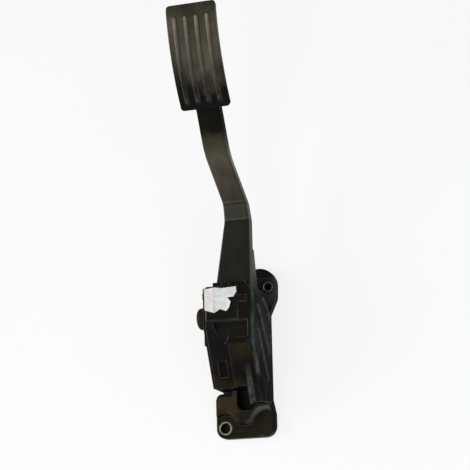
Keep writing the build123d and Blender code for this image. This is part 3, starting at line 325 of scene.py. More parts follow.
class StudioSettings(bpy.types.PropertyGroup):
    """Floor, lamps and camera."""

    floor: FloatVectorProperty(
        name="Floor", description="Colour of the floor",
        default=(0.97, 0.97, 0.97), subtype="COLOR", min=0, max=1)
    # Painted shade on the floor that shows through the bores
    floor_shade_in_bores: FloatVectorProperty(
        name="Floor under the sleeves", description="Dark floor that shows through the bores",
        default=(0.085, 0.068, 0.022), subtype="COLOR", min=0, max=1)
    floor_glow: FloatProperty(
        name="Floor glow", description="Share of plain white in the floor as the camera sees it",
        default=0.78, min=0, max=1, subtype="FACTOR")
    sky_strength: FloatProperty(
        name="Surround", description="Strength of the even light from all sides",
        default=0.22, min=0)
    key_power: FloatProperty(
        name="Key lamp", description="Power of the warm lamp at the foot's end",
        default=1.05, min=0, subtype="POWER")
    side_power: FloatProperty(
        name="Side lamp", description="Power of the cool lamp on the right",
        default=4.0, min=0, subtype="POWER")
    toe_power: FloatProperty(
        name="Toe lamp", description="Power of the cool lamp before the foot",
        default=6.0, min=0, subtype="POWER")
    fill_power: FloatProperty(
        name="Fill lamp", description="Power of the low, soft lamp on the left",
        default=48.0, min=0, subtype="POWER")
    warm: FloatVectorProperty(
        name="Warm light", description="Colour of the key lamp",
        default=(1.0, 0.93, 0.80), subtype="COLOR", min=0, max=1)
    cool: FloatVectorProperty(
        name="Cool light", description="Colour of the side lamp and the toe lamp",
        default=(0.82, 0.94, 1.0), subtype="COLOR", min=0, max=1)
    camera_target: FloatVectorProperty(
        name="Camera target", description="Point in the middle of the picture",
        default=(22.13 * MM, 152.82 * MM, 41.54 * MM), subtype="XYZ", unit="LENGTH")
    camera_back: FloatVectorProperty(
        name="Camera direction", description="Direction from the target to the camera",
        default=(0.30, -0.24, 0.9233), subtype="DIRECTION")
    camera_distance: FloatProperty(
        name="Camera distance", description="Distance from the target to the camera",
        default=1.3, min=0.1, unit="LENGTH")
    camera_roll: FloatProperty(
        name="Camera roll", description="Turn of the camera about its line of sight",
        default=math.radians(-5.7), subtype="ANGLE")
    camera_lens: FloatProperty(
        name="Camera lens", description="Focal length in millimetres", default=122.2, min=1)


class Finish:
    """A material being mixed, with short calls that add one node each."""

    def __init__(self, name):
        self.material = bpy.data.materials.new(name)
        self.material.use_nodes = True
        self.tree = self.material.node_tree
        self.shader = self.tree.nodes["Principled BSDF"]
        place = self.add("ShaderNodeTexCoord")
        self.place = place.outputs["Object"]
        self.facing = place.outputs["Normal"]

    def add(self, kind, **settings):
        """A new node with some of its settings changed."""
        node = self.tree.nodes.new(kind)
        for key, value in settings.items():
            setattr(node, key, value)
        return node

    def feed(self, socket, value):
        """Links an output to a socket, or sets the socket's own value."""
        if isinstance(value, bpy.types.NodeSocket):
            self.tree.links.new(value, socket)
        elif isinstance(socket, bpy.types.NodeSocketColor) and len(value) == 3:
            socket.default_value = (*value, 1)
        else:
            socket.default_value = value

    def coat(self, **sockets):
        """Feeds the shader, with underscores in place of the spaces in socket names."""
        for key, value in sockets.items():
            self.feed(self.shader.inputs[key.replace("_", " ")], value)
        return self.material

    def scaled(self, stretch):
        """Object coordinates stretched along the axes."""
        mapping = self.add("ShaderNodeMapping")
        self.feed(mapping.inputs["Vector"], self.place)
        self.feed(mapping.inputs["Scale"], stretch)
        return mapping.outputs["Vector"]

    def noise(self, scale, detail, stretch=None):
        """Cloudy noise, its scale in patches to the metre."""
        node = self.add("ShaderNodeTexNoise")
        self.feed(node.inputs["Vector"], self.scaled(stretch) if stretch else self.place)
        self.feed(node.inputs["Scale"], scale)
        self.feed(node.inputs["Detail"], detail)
        return node.outputs["Fac"]

    def cells(self, scale, feature):
        """Distances in a pattern of cells."""
        node = self.add("ShaderNodeTexVoronoi", feature=feature)
        self.feed(node.inputs["Vector"], self.place)
        self.feed(node.inputs["Scale"], scale)
        return node.outputs["Distance"]

    def span(self, value, low, high, start=0.0, end=1.0):
        """A value from low to high, spread over start to end and held there."""
        node = self.add("ShaderNodeMapRange")
        for index, number in enumerate((value, low, high, start, end)):
            self.feed(node.inputs[index], number)
        return node.outputs["Result"]

    def math(self, operation, a, b=0.0):
        """One operation on one or two values."""
        node = self.add("ShaderNodeMath", operation=operation)
        self.feed(node.inputs[0], a)
        self.feed(node.inputs[1], b)
        return node.outputs["Value"]

    def product(self, *values):
        """Values multiplied with each other."""
        result = values[0]
        for value in values[1:]:
            result = self.math("MULTIPLY", result, value)
        return result

    def most(self, *values):
        """The largest of some values."""
        result = values[0]
        for value in values[1:]:
            result = self.math("MAXIMUM", result, value)
        return result

    def rest(self, value):
        """What a value lacks to 1."""
        return self.math("SUBTRACT", 1.0, value)

    def beyond(self, value, limit):
        """1 where a value is above a limit, else 0."""
        return self.math("GREATER_THAN", value, limit)

    def within(self, value, limit):
        """1 where a value is below a limit, else 0."""
        return self.math("LESS_THAN", value, limit)

    def line(self, value, middle, half):
        """1 where a value is no further than half from the middle, else 0."""
        result = self.math("COMPARE", value, middle)
        self.feed(result.node.inputs[2], half)
        return result

    def parts(self, vector):
        """The three parts of a vector."""
        node = self.add("ShaderNodeSeparateXYZ")
        self.feed(node.inputs[0], vector)
        return node.outputs

    def mix(self, share, a, b):
        """Colour a changed to colour b by a share."""
        node = self.add("ShaderNodeMix", data_type="RGBA")
        self.feed(node.inputs["Factor"], share)
        self.feed(node.inputs[MIX_A], a)
        self.feed(node.inputs[MIX_B], b)
        return node.outputs[MIX_RESULT]

    def bump(self, height, depth, strength, below=None):
        """A bumped normal, the depth in metres."""
        node = self.add("ShaderNodeBump")
        self.feed(node.inputs["Height"], height)
        self.feed(node.inputs["Distance"], depth)
        self.feed(node.inputs["Strength"], strength)
        if below:
            self.feed(node.inputs["Normal"], below)
        return node.outputs["Normal"]


def moulded_plastic(name, colour, dust, highlight_grey, rough):
    """Black plastic with a fine grain, soft flow marks, coarser walls, dust and painted highlights.
    """
    finish = Finish(name)
    place_x, place_y, place_z = finish.parts(finish.place)
    facing_x, facing_y, facing_z = finish.parts(finish.facing)
    patches = finish.span(finish.noise(45.0, 6.0), 0.36, 0.66)
    upward = finish.span(facing_z, *UPWARD_Z)
    on_slope = finish.product(
        finish.span(facing_y, *SLOPE_FACING_Y), finish.span(facing_z, *SLOPE_FACING_Z))
    above_plate = finish.beyond(place_z, PLATE_TOP_Z)
    right_side = finish.beyond(place_x, CORNER_X)

    # Brown dust on the slab, the dome and the raised panel of the slope
    low_down = finish.span(place_y, DUST_END_Y, DUST_FULL_Y, 0.12, 1.0)
    on_slab = finish.span(place_z, PLATE_TOP_Z, SLAB_TOP_Z, 0.3, 1.0)
    on_dome = finish.span(place_x, *DOME_X, 0.0, 0.7)
    on_panel = finish.product(
        on_slope, finish.span(place_x, *PANEL_X, 0.0, 0.75), finish.span(place_y, *PANEL_FILM_Y),
        finish.within(place_y, PANEL_END_Y))
    film = finish.product(patches, finish.most(low_down, on_panel), on_slab)
    film = finish.product(finish.most(film, on_dome), upward)

    # Painted grey highlights on the ramp, the ear, the right wall, its ribs and corner, and the
    # slope's rib
    on_ramp = finish.product(
        finish.span(facing_y, *RAMP_FACING_Y), finish.span(place_x, *RAMP_X),
        finish.beyond(place_y, RAMP_Y[0]), finish.within(place_y, RAMP_Y[1]),
        finish.within(place_z, SLAB_TOP_Z + RAMP_ROUND))
    on_ear = finish.product(
        upward, patches, finish.beyond(place_y, EAR_Y),
        finish.span(place_y, *EAR_LIGHT_Y, 0.6, 0.25), finish.rest(above_plate))
    on_wall = finish.product(
        patches, finish.span(facing_x, *WALL_FACING_X), right_side,
        finish.span(place_y, *WALL_HIGHLIGHT_Y), 0.3)
    on_wall_ribs = finish.product(
        finish.span(place_x, *WALL_RIB_X), finish.span(place_y, *WALL_HIGHLIGHT_Y, 0.2, 1.0),
        above_plate)
    streaks = finish.span(finish.noise(260.0, 4.0, (1.0, 0.3, 1.0)), 0.36, 0.64, 0.1, 0.9)
    on_slope_rib = finish.product(
        on_slope, finish.span(place_x, *SLOPE_RIB_LEFT_X), finish.span(place_x, *SLOPE_RIB_RIGHT_X),
        finish.span(place_y, *SLOPE_RIB_END_Y), streaks)
    on_corner = finish.product(
        finish.span(facing_x, *CORNER_FACING_LOW_X), finish.span(facing_x, *CORNER_FACING_HIGH_X),
        right_side, finish.span(place_y, *CORNER_Y), streaks)
    painted_highlights = finish.most(on_ramp, on_ear, on_wall, on_wall_ribs, on_slope_rib, on_corner)

    # Dusty places and side walls are duller
    wall = finish.span(finish.math("ABSOLUTE", facing_x), *WALL_FACING_X, 0.0, 0.4)
    flow = finish.noise(160.0, 4.0, (1.0, 0.25, 1.0))
    shine = finish.span(flow, 0.3, 0.7, rough - 0.10, rough + 0.12)
    shine = finish.math("ADD", shine, finish.product(film, 0.2))
    shine = finish.math("ADD", shine, wall)
    soft = finish.bump(flow, 0.05 * MM, 0.25)
    return finish.coat(
        Base_Color=finish.mix(painted_highlights, finish.mix(film, colour, dust), highlight_grey),
        Roughness=shine,
        Normal=finish.bump(finish.noise(3600.0, 2.0), 0.018 * MM, 0.55, soft),
        Specular_IOR_Level=0.08,
    )


def lever_plastic(name, colours):
    """Black plastic of the lever, with wear and painted highlights on the grip ribs and shin, and
    painted shade where the pad begins.
    """
    finish = Finish(name)
    place_y, place_z = finish.parts(finish.place)[1:]

    # The ribs' crests are rubbed pale and carry a painted highlight, most of all high up on the pad
    # and at their tips by the foot
    along = finish.math("SUBTRACT", place_y, PAD_AXIS[0])
    above = finish.math("SUBTRACT", place_z, PAD_AXIS[1])
    squares = finish.math("ADD", finish.math("POWER", along, 2.0), finish.math("POWER", above, 2.0))
    crest = finish.span(finish.math("SQRT", squares), *CREST_RADII)
    up_the_pad = finish.most(
        finish.span(place_y, *RUBBED_Y, 0.08, 1.0), finish.span(place_y, *TIPS_Y, 0.25, 0.0))
    worn = finish.span(finish.noise(200.0, 4.0), 0.3, 0.6, 0.35, 1.0)
    rub_and_highlight = finish.product(crest, finish.beyond(place_y, PAD_FOOT_Y), up_the_pad, worn)

    # Dust and scuffs on the arm and the pad, a painted highlight on the shin, and painted shade
    # where they meet
    cloud = finish.noise(55.0, 5.0, (1.0, 0.5, 1.0))
    ragged = finish.math("ADD", place_y, finish.span(cloud, 0.3, 0.7, -RAGGED, RAGGED))
    film = finish.product(
        finish.span(cloud, 0.34, 0.66, 0.2, 0.85), finish.span(place_y, *ARM_FILM_Y, 0.13, 1.0),
        finish.span(place_y, *PAD_LIP_Y, 1.0, 0.62))
    on_shin = finish.product(
        finish.span(ragged, *SHIN_LOW_Y), finish.span(ragged, *SHIN_HIGH_Y), 0.68)
    film = finish.most(film, on_shin)
    scuffs = finish.span(finish.noise(900.0, 3.0, (1.0, 0.05, 1.0)), 0.60, 0.72, 0.0, 0.12)
    painted_shade = finish.product(finish.span(ragged, *SHADE_LOW_Y), finish.span(ragged, *SHADE_HIGH_Y))
    tone = finish.mix(film, colours.lever, colours.lever_dust_and_highlight)
    tone = finish.mix(scuffs, tone, colours.lever_dust_and_highlight)
    tone = finish.mix(painted_shade, tone, colours.painted_shade)

    # The cranked band is painted greyer as a highlight, between two creases
    band = finish.product(
        finish.beyond(place_y, CREASES_Y[0]), finish.within(place_y, CREASES_Y[1]), 0.18)
    tone = finish.mix(band, tone, colours.highlight_grey)
    # Each crease gets a painted highlight line above it and a painted shadow line below it
    for crease in CREASES_Y:
        pale = finish.product(finish.line(place_y, crease + PALE_ABOVE, PALE_HALF), 0.22)
        dark = finish.product(finish.line(place_y, crease - DARK_BELOW, DARK_HALF), 0.6)
        tone = finish.mix(pale, tone, colours.lever_dust_and_highlight)
        tone = finish.mix(dark, tone, colours.painted_shade)
    tone = finish.mix(rub_and_highlight, tone, colours.rubbed_and_highlit)

    flow = finish.noise(140.0, 4.0, (1.0, 0.3, 1.0))
    shine = finish.span(flow, 0.3, 0.7, 0.38, 0.50)
    shine = finish.math("ADD", shine, finish.product(painted_shade, 0.45))
    soft = finish.bump(flow, 0.05 * MM, 0.2)
    return finish.coat(
        Base_Color=tone,
        Roughness=shine,
        Normal=finish.bump(finish.noise(3200.0, 2.0), 0.016 * MM, 0.5, soft),
        Specular_IOR_Level=0.15,
    )


def worn_and_highlit_edge(name, colour, rubbed_and_highlit, share):
    """The rolled edges of a moulding, paler in places from wear and a painted highlight."""
    finish = Finish(name)
    wear = finish.span(finish.noise(170.0, 5.0), 0.46, 0.70, 0.0, share)
    return finish.coat(
        Base_Color=finish.mix(wear, colour, rubbed_and_highlit),
        Roughness=finish.span(wear, 0.0, share, 0.44, 0.36),
        Normal=finish.bump(finish.noise(2600.0, 2.0), 0.015 * MM, 0.4),
        Specular_IOR_Level=0.35,
    )


def plated_metal(name, colour, stain, rough, drawn):
    """Bare or plated metal with drawing marks along one axis and dull stains."""
    finish = Finish(name)
    stains = finish.span(finish.noise(420.0, 6.0), 0.40, 0.75, 0.0, 0.6)
    marks = finish.noise(2400.0, 2.0, drawn)
    shine = finish.span(marks, 0.3, 0.7, rough - 0.08, rough + 0.08)
    shine = finish.math("ADD", shine, finish.product(stains, 0.2))
    return finish.coat(
        Base_Color=finish.mix(stains, colour, stain),
        Roughness=shine,
        Normal=finish.bump(marks, 0.012 * MM, 0.4),
        Metallic=1.0,
    )


def soft_rubber(name, colour):
    """Matt rubber with a faint bloom."""
    finish = Finish(name)
    bloom = finish.span(finish.noise(520.0, 5.0), 0.4, 0.75, 0.0, 0.5)
    pale = [2.2 * part for part in colour]
    return finish.coat(
        Base_Color=finish.mix(bloom, colour, pale),
        Roughness=finish.span(bloom, 0.0, 0.5, 0.68, 0.86),
        Normal=finish.bump(finish.noise(5200.0, 2.0), 0.02 * MM, 0.5),
    )


def bearing_plastic(name, colour):
    """Natural, slightly waxy plastic of the bearing pieces."""
    finish = Finish(name)
    tone = finish.span(finish.noise(240.0, 4.0), 0.3, 0.7, 0.0, 0.6)
    warm = [part * tint for part, tint in zip(colour, (0.86, 0.80, 0.70))]
    return finish.coat(
        Base_Color=finish.mix(tone, colour, warm),
        Roughness=finish.span(tone, 0.0, 0.6, 0.36, 0.5),
        Normal=finish.bump(finish.noise(2800.0, 2.0), 0.01 * MM, 0.4),
    )


def circuit_board(name, colour):
    """Coated board with faint conductor tracks under the coating."""
    finish = Finish(name)
    tracks = finish.span(finish.cells(330.0, "DISTANCE_TO_EDGE"), 0.03, 0.06, 1.0, 0.0)
    bright = [min(1.0, 2.0 * part) for part in colour]
    return finish.coat(
        Base_Color=finish.mix(tracks, colour, bright),
        Roughness=finish.span(finish.noise(700.0, 3.0), 0.3, 0.7, 0.26, 0.4),
        Normal=finish.bump(tracks, 0.03 * MM, 0.4),
    )


def crumpled_paper(name, colour, shade, cream):
    """Blank paper, yellowed at one end, stained in patches and with painted shade and highlight on
    its folds and a facet, with fine fibres.
    """
    finish = Finish(name)
    place_x, place_y = finish.parts(finish.place)[:2]
    stains = finish.span(finish.noise(130.0, 5.0), 0.42, 0.72, 0.0, 0.6)
    # The facet gets painted shade above the crease and stays pale below it as a painted highlight
    facet = finish.span(place_x, *FACET_X)
    upper = finish.span(place_y, CREASE_Y - CREASE_WIDTH, CREASE_Y + CREASE_WIDTH)
    stains = finish.most(stains, finish.product(facet, upper, 0.65))
    lit_facet = finish.product(facet, finish.rest(upper))
    stains = finish.product(stains, finish.rest(lit_facet))
    # Painted shade along the fold and the crease
    for place, line in ((place_x, FOLD_X), (place_y, CREASE_Y)):
        gap = finish.math("ABSOLUTE", finish.math("SUBTRACT", place, line))
        stains = finish.most(stains, finish.span(gap, 0.0, CREASE_SHADE_REACH, 0.75, 0.0))
    yellowed = finish.mix(finish.span(place_x, *CREAM_X, 0.85, 0.0), colour, cream)
    fibres = finish.noise(4200.0, 4.0, (1.0, 0.35, 1.0))
    soft = finish.bump(finish.noise(520.0, 3.0), 0.12 * MM, 0.5)
    return finish.coat(
        Base_Color=finish.mix(stains, yellowed, shade),
        Roughness=finish.span(fibres, 0.3, 0.7, 0.78, 0.95),
        Normal=finish.bump(fibres, 0.02 * MM, 0.4, soft),
        Specular_IOR_Level=0.3,
    )


def plain_floor(name, colour, under, glow):
    """Matt studio floor with painted shade under the bores, partly plain white to the camera and
    mirrors.
    """
    finish = Finish(name)
    tone = finish.span(finish.noise(3.0, 2.0), 0.3, 0.7, 0.0, 0.2)
    pale = [part * 0.985 for part in colour]
    clear = []
    for bore in BORES:
        away = finish.add("ShaderNodeVectorMath", operation="DISTANCE")
        finish.feed(away.inputs[0], finish.place)
        finish.feed(away.inputs[1], bore)
        clear.append(finish.span(away.outputs["Value"], BORE_INNER, BORE_OUTER))
    bare = finish.product(*clear)
    finish.coat(
        Base_Color=finish.mix(bare, under, finish.mix(tone, colour, pale)),
        Roughness=0.9, Specular_IOR_Level=0.1)
    ray = finish.add("ShaderNodeLightPath").outputs
    seen = finish.most(*(ray[f"Is {kind} Ray"] for kind in ("Camera", "Glossy", "Transmission")))
    share = finish.product(seen, bare, glow)
    white = finish.add("ShaderNodeEmission")
    both = finish.add("ShaderNodeMixShader")
    for index, value in enumerate((share, finish.shader.outputs[0], white.outputs[0])):
        finish.feed(both.inputs[index], value)
    finish.feed(finish.tree.nodes["Material Output"].inputs["Surface"], both.outputs[0])
    return finish.material


def finish_of(slot):
    """The finish of a record slot, mixed the first time that it is asked for."""
    name = slot + "_finish"
    if name in bpy.data.materials:
        return bpy.data.materials[name]
    tints = bpy.context.scene.pedal_colours
    studio = bpy.context.scene.pedal_studio
    recipes = {
        "black_plastic": lambda: moulded_plastic(
            name, tints.plastic, tints.dust, tints.highlight_grey, 0.45),
        "black_edge": lambda: worn_and_highlit_edge(name, tints.plastic, tints.lever_dust_and_highlight, 0.4),
        "lever_plastic": lambda: lever_plastic(name, tints),
        "lever_edge": lambda: worn_and_highlit_edge(name, tints.lever, tints.lever_dust_and_highlight, 0.5),
        "steel": lambda: plated_metal(name, tints.steel, tints.wire, 0.34, DRAWN_X),
        "sleeve_steel": lambda: plated_metal(name, tints.sleeve, tints.bore, 0.42, DRAWN_Z),
        "sleeve_bore": lambda: plated_metal(name, tints.bore, tints.plastic, 0.6, DRAWN_Z),
        "spring_steel": lambda: plated_metal(name, tints.wire, tints.plastic, 0.3, DRAWN_Z),
        "stop_rubber": lambda: soft_rubber(name, tints.rubber),
        "bush_plastic": lambda: bearing_plastic(name, tints.bearing),
        "lining": lambda: soft_rubber(name, tints.lining),
        "board": lambda: circuit_board(name, tints.board),
        "chip": lambda: moulded_plastic(name, tints.plastic, tints.rubber, tints.rubber, 0.55),
        "contact_brass": lambda: plated_metal(name, tints.brass, tints.lining, 0.28, DRAWN_X),
        "paper": lambda: crumpled_paper(name, tints.paper, tints.paper_stain_and_shade, tints.paper_cream),
        "floor": lambda: plain_floor(name, studio.floor, studio.floor_shade_in_bores, studio.floor_glow),
    }
    return recipes[slot]()


def slot_of(node):
    """The record's material slot of a CAD node."""
    for entry in frame["record"]["subparts"]:
        if entry["node"] == node:
            return entry["material_slot"]
    raise RuntimeError("no material slot for " + node)


def body_of(node):
    """The body that a CAD node belongs to."""
    for body, members in frame["record"]["behaviour"]["bodies"].items():
        if node in members:
            return body
    raise RuntimeError("no body for " + node)


def hold(piece):
    """Makes one piece the selected and active one."""
    bpy.ops.object.select_all(action="DESELECT")
    piece.select_set(True)
    bpy.context.view_layer.objects.active = piece


def stand_for(piece, *nodes):
    """A finished piece takes the place of CAD nodes, on their body."""
    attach(piece, body_of(nodes[0]))
    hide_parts(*nodes)


def coat_node(node):
    """Gives a CAD node that stays in view the finish of its slot."""
    for place in frame["nodes"][node].material_slots:
        place.material = finish_of(slot_of(node))


def merged_copy(node, name):
    """A copy of a CAD node's mesh, joined along its seams, as a piece of its own."""
    piece = bpy.data.objects.new(name, frame["nodes"][node].data.copy())
    bpy.context.scene.collection.objects.link(piece)
    piece.data.name = name
    piece.data.materials.clear()
    hold(piece)
    bpy.ops.object.mode_set(mode="EDIT")
    bpy.ops.mesh.select_all(action="SELECT")
    bpy.ops.mesh.remove_doubles(threshold=MERGE)
    bpy.ops.mesh.customdata_custom_splitnormals_clear()
    bpy.ops.object.mode_set(mode="OBJECT")
    return piece


def pick_faces(piece, wanted):
    """Selects the faces of the active piece whose normals pass a test, and stays in edit mode."""
    bpy.ops.object.mode_set(mode="EDIT")
    bpy.ops.mesh.select_mode(type="FACE")
    bpy.ops.mesh.select_all(action="DESELECT")
    bpy.ops.object.mode_set(mode="OBJECT")
    for face in piece.data.polygons:
        face.select = wanted(face.normal)
    bpy.ops.object.mode_set(mode="EDIT")


def reshape(piece, name, kind, **settings):
    """Gives the active piece a modifier with some settings and applies it."""
    modifier = piece.modifiers.new(name, kind)
    for key, value in settings.items():
        setattr(modifier, key, value)
    bpy.ops.object.modifier_apply(modifier=modifier.name)


def even_shading(piece):
    """Smooth shading between sharp edges, with the flat faces kept flat."""
    hold(piece)
    bpy.ops.object.shade_smooth_by_angle(angle=SHARP_ANGLE)
    reshape(piece, "Flat faces", "WEIGHTED_NORMAL", keep_sharp=True)


def settle(piece, node, width):
    """Puts points that the rolling of tight corners threw off the CAD surface back onto it."""
    reach = width * STRAY_SHARE
    for point in piece.data.vertices:
        found, spot = frame["nodes"][node].closest_point_on_mesh(point.co)[:2]
        if found and (spot - point.co).length > reach:
            point.co = spot


def rolled_copy(node, name, width, finishes):
    """A copy of a CAD node with its sharp edges rolled over, in place of the node."""
    piece = merged_copy(node, name)
    for finish in finishes:
        piece.data.materials.append(finish_of(finish))
    reshape(
        piece, "Rolled edges", "BEVEL", width=width,
        segments=bpy.context.scene.pedal_sizes.edge_segments, limit_method="ANGLE",
        angle_limit=ROLL_ANGLE, use_clamp_overlap=False, material=len(finishes) - 1)
    settle(piece, node, width)
    even_shading(piece)
    stand_for(piece, node)


class PEDAL_OT_housing(bpy.types.Operator):
    """Rolls the edges of the housing moulding and gives it its grained black plastic"""

    bl_idname = "pedal.housing"
    bl_label = "Housing"

    def execute(self, context):
        width = context.scene.pedal_sizes.housing_edge
        rolled_copy("housing", "housing_moulding", width, ("black_plastic", "black_edge"))
        return {"FINISHED"}


class PEDAL_OT_covers(bpy.types.Operator):
    """Rolls the edges of the sensor cover and the rear cover"""

    bl_idname = "pedal.covers"
    bl_label = "Covers"

    def execute(self, context):
        width = context.scene.pedal_sizes.cover_edge
        for node in ("sensor_cover", "rear_cover"):
            rolled_copy(node, node + "_moulding", width, ("black_plastic", "black_edge"))
        return {"FINISHED"}


class PEDAL_OT_lever(bpy.types.Operator):
    """Rolls the edges of the lever and gives its grip ribs pale wear and painted highlights"""

    bl_idname = "pedal.lever"
    bl_label = "Lever and pad"

    def execute(self, context):
        width = context.scene.pedal_sizes.lever_edge
        rolled_copy("pedal_lever", "lever_moulding", width, ("lever_plastic", "lever_edge"))
        return {"FINISHED"}


class PEDAL_OT_screws(bpy.types.Operator):
    """Rounds the screw heads of both covers"""

    bl_idname = "pedal.screws"
    bl_label = "Screws"

    def execute(self, context):
        width = context.scene.pedal_sizes.screw_edge
        for node in ("cover_screws", "rear_screws"):
            rolled_copy(node, node + "_set", width, ("steel",))
        return {"FINISHED"}


class PEDAL_OT_sleeves(bpy.types.Operator):
    """Models the two fixing sleeves as chamfered lengths of steel tube"""

    bl_idname = "pedal.sleeves"
    bl_label = "Fixing sleeves"

    def execute(self, context):
        sizes = context.scene.pedal_sizes
        for node, wall in (("lower_sleeve", sizes.lower_wall), ("upper_sleeve", sizes.upper_wall)):
            low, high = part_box(node)
            middle = (low + high) / 2
            bpy.ops.object.select_all(action="DESELECT")
            bpy.ops.mesh.primitive_cylinder_add(
                vertices=SLEEVE_SIDES, radius=(high.x - low.x) / 2, depth=high.z - low.z,
                location=middle)
            piece = context.object
            piece.name = node + "_tube"
            piece.data.name = node + "_tube"
            bpy.ops.object.transform_apply(location=True, rotation=True, scale=True)
            pick_faces(piece, lambda normal: abs(normal.z) > FLAT_Z)
            bpy.ops.mesh.inset(thickness=wall)
            bpy.ops.mesh.bridge_edge_loops()
            bpy.ops.object.mode_set(mode="OBJECT")
            reshape(
                piece, "Chamfers", "BEVEL", width=sizes.sleeve_chamfer,
                segments=sizes.edge_segments, limit_method="ANGLE", angle_limit=CHAMFER_ANGLE)
            for finish in ("sleeve_steel", "sleeve_bore"):
                piece.data.materials.append(finish_of(finish))
            for face in piece.data.polygons:
                spoke = (face.center - middle) * Vector((1, 1, 0))
                face.material_index = int(face.normal.dot(spoke.normalized()) < INWARD)
            even_shading(piece)
            stand_for(piece, node)
        return {"FINISHED"}


class PEDAL_OT_springs(bpy.types.Operator):
    """Winds the two return springs"""

    bl_idname = "pedal.springs"
    bl_label = "Return springs"

    def execute(self, context):
        sizes = context.scene.pedal_sizes
        for node, wire, turns, keep in (
                ("outer_spring", sizes.outer_wire, sizes.outer_turns, sizes.outer_keep),
                ("inner_spring", sizes.inner_wire, sizes.inner_turns, sizes.inner_keep)):
            low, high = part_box(node)
            coil = (high.x - low.x) / 2 - wire
            middle = (low + high) / 2
            bpy.ops.object.select_all(action="DESELECT")
            bpy.ops.mesh.primitive_circle_add(
                vertices=WIRE_SIDES, radius=wire, location=(coil, 0, 0))
            piece = context.object
            piece.name = node + "_coil"
            piece.data.name = node + "_coil"
            bpy.ops.object.transform_apply(location=True, rotation=True, scale=True)
            steps = round(abs(turns) * STEPS_A_TURN)
            reshape(
                piece, "Winding", "SCREW", axis="Y", angle=2 * math.pi * turns,
                screw_offset=high.y - low.y - 2 * wire, steps=steps, render_steps=steps)
            bpy.ops.object.mode_set(mode="EDIT")
            bpy.ops.mesh.select_all(action="DESELECT")
            bpy.ops.mesh.select_mode(type="EDGE")
            bpy.ops.mesh.select_non_manifold()
            bpy.ops.mesh.fill()
            bpy.ops.mesh.select_all(action="SELECT")
            bpy.ops.mesh.normals_make_consistent(inside=False)
            bpy.ops.transform.translate(value=(middle.x, low.y + wire, middle.z))
            bpy.ops.object.mode_set(mode="OBJECT")
            piece.data.materials.append(finish_of("spring_steel"))
            bpy.ops.object.shade_smooth_by_angle(angle=COIL_SHARP_ANGLE)
            stand_for(piece, node)
            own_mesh(piece)
        return {"FINISHED"}


class PEDAL_OT_paper_label(bpy.types.Operator):
    """Folds and creases the blank paper label on the roof"""

    bl_idname = "pedal.paper_label"
    bl_label = "Paper label"

    def execute(self, context):
        sizes = context.scene.pedal_sizes
        low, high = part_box("paper_label")
        piece = merged_copy("paper_label", "paper_label_sheet")
        pick_faces(piece, lambda normal: normal.z < FLAT_Z)
        bpy.ops.mesh.delete(type="FACE")
        for axis in (0, 1):
            normal = [0, 0, 0]
            normal[axis] = 1
            lines = int((high[axis] - low[axis]) / sizes.paper_pitch)
            for line in range(1, lines + 1):
                point = list(low)
                point[axis] += line * sizes.paper_pitch
                bpy.ops.mesh.select_all(action="SELECT")
                bpy.ops.mesh.bisect(plane_co=point, plane_no=normal)
        bpy.ops.object.mode_set(mode="OBJECT")
        for vertex in piece.data.vertices:
            vertex.co.z = low.z + self.lift(vertex.co, sizes.paper_crease)
        reshape(piece, "Paper thickness", "SOLIDIFY", thickness=sizes.paper_thickness, offset=1)
        piece.data.materials.append(finish_of("paper"))
        bpy.ops.object.shade_smooth_by_angle(angle=PAPER_SHARP_ANGLE)
        stand_for(piece, "paper_label")
        return {"FINISHED"}

    @staticmethod
    def lift(point, crease):
        """Height of the folded and creased paper above the panel at a point."""
        spot = Vector((point.x, point.y, 0)) / FACET_SIZE
        near, far = noise.voronoi(spot)[0][:2]
        facets = min(1.0, (far - near) * FACET_GAIN)
        ripple = 0.5 + 0.5 * noise.noise(spot * RIPPLE_SCALE)
        fold = max(0.0, 1 - abs(point.x - FOLD_X) / FOLD_WIDTH)
        ledge = 0.5 + 0.5 * math.tanh((point.y - CREASE_Y) / CREASE_WIDTH)
        curl = max(0.0, point.x - CURL_X) / CURL_REACH
        return crease * (
            FACET_SHARE * facets + RIPPLE_SHARE * ripple + FOLD_SHARE * fold
            + LEDGE_SHARE * ledge + CURL_SHARE * curl)


class PEDAL_OT_sensor(bpy.types.Operator):
    """Finishes the sensor's board, chips, pins, rotor and seal"""

    bl_idname = "pedal.sensor"
    bl_label = "Sensor"

    def execute(self, context):
        for node in ("sensor_board", "board_chips", "connector_pins", "rotor", "rotor_loop",
                     "cover_seal"):
            coat_node(node)
        return {"FINISHED"}


class PEDAL_OT_running_gear(bpy.types.Operator):
    """Finishes the shaft, bushes, washers, friction lever and stops"""

    bl_idname = "pedal.running_gear"
    bl_label = "Running gear"

    def execute(self, context):
        for node in ("pivot_shaft", "left_bush", "right_bush", "thrust_washers", "friction_lever",
                     "friction_lining", "friction_pin", "idle_stop", "full_stop"):
            coat_node(node)
        return {"FINISHED"}


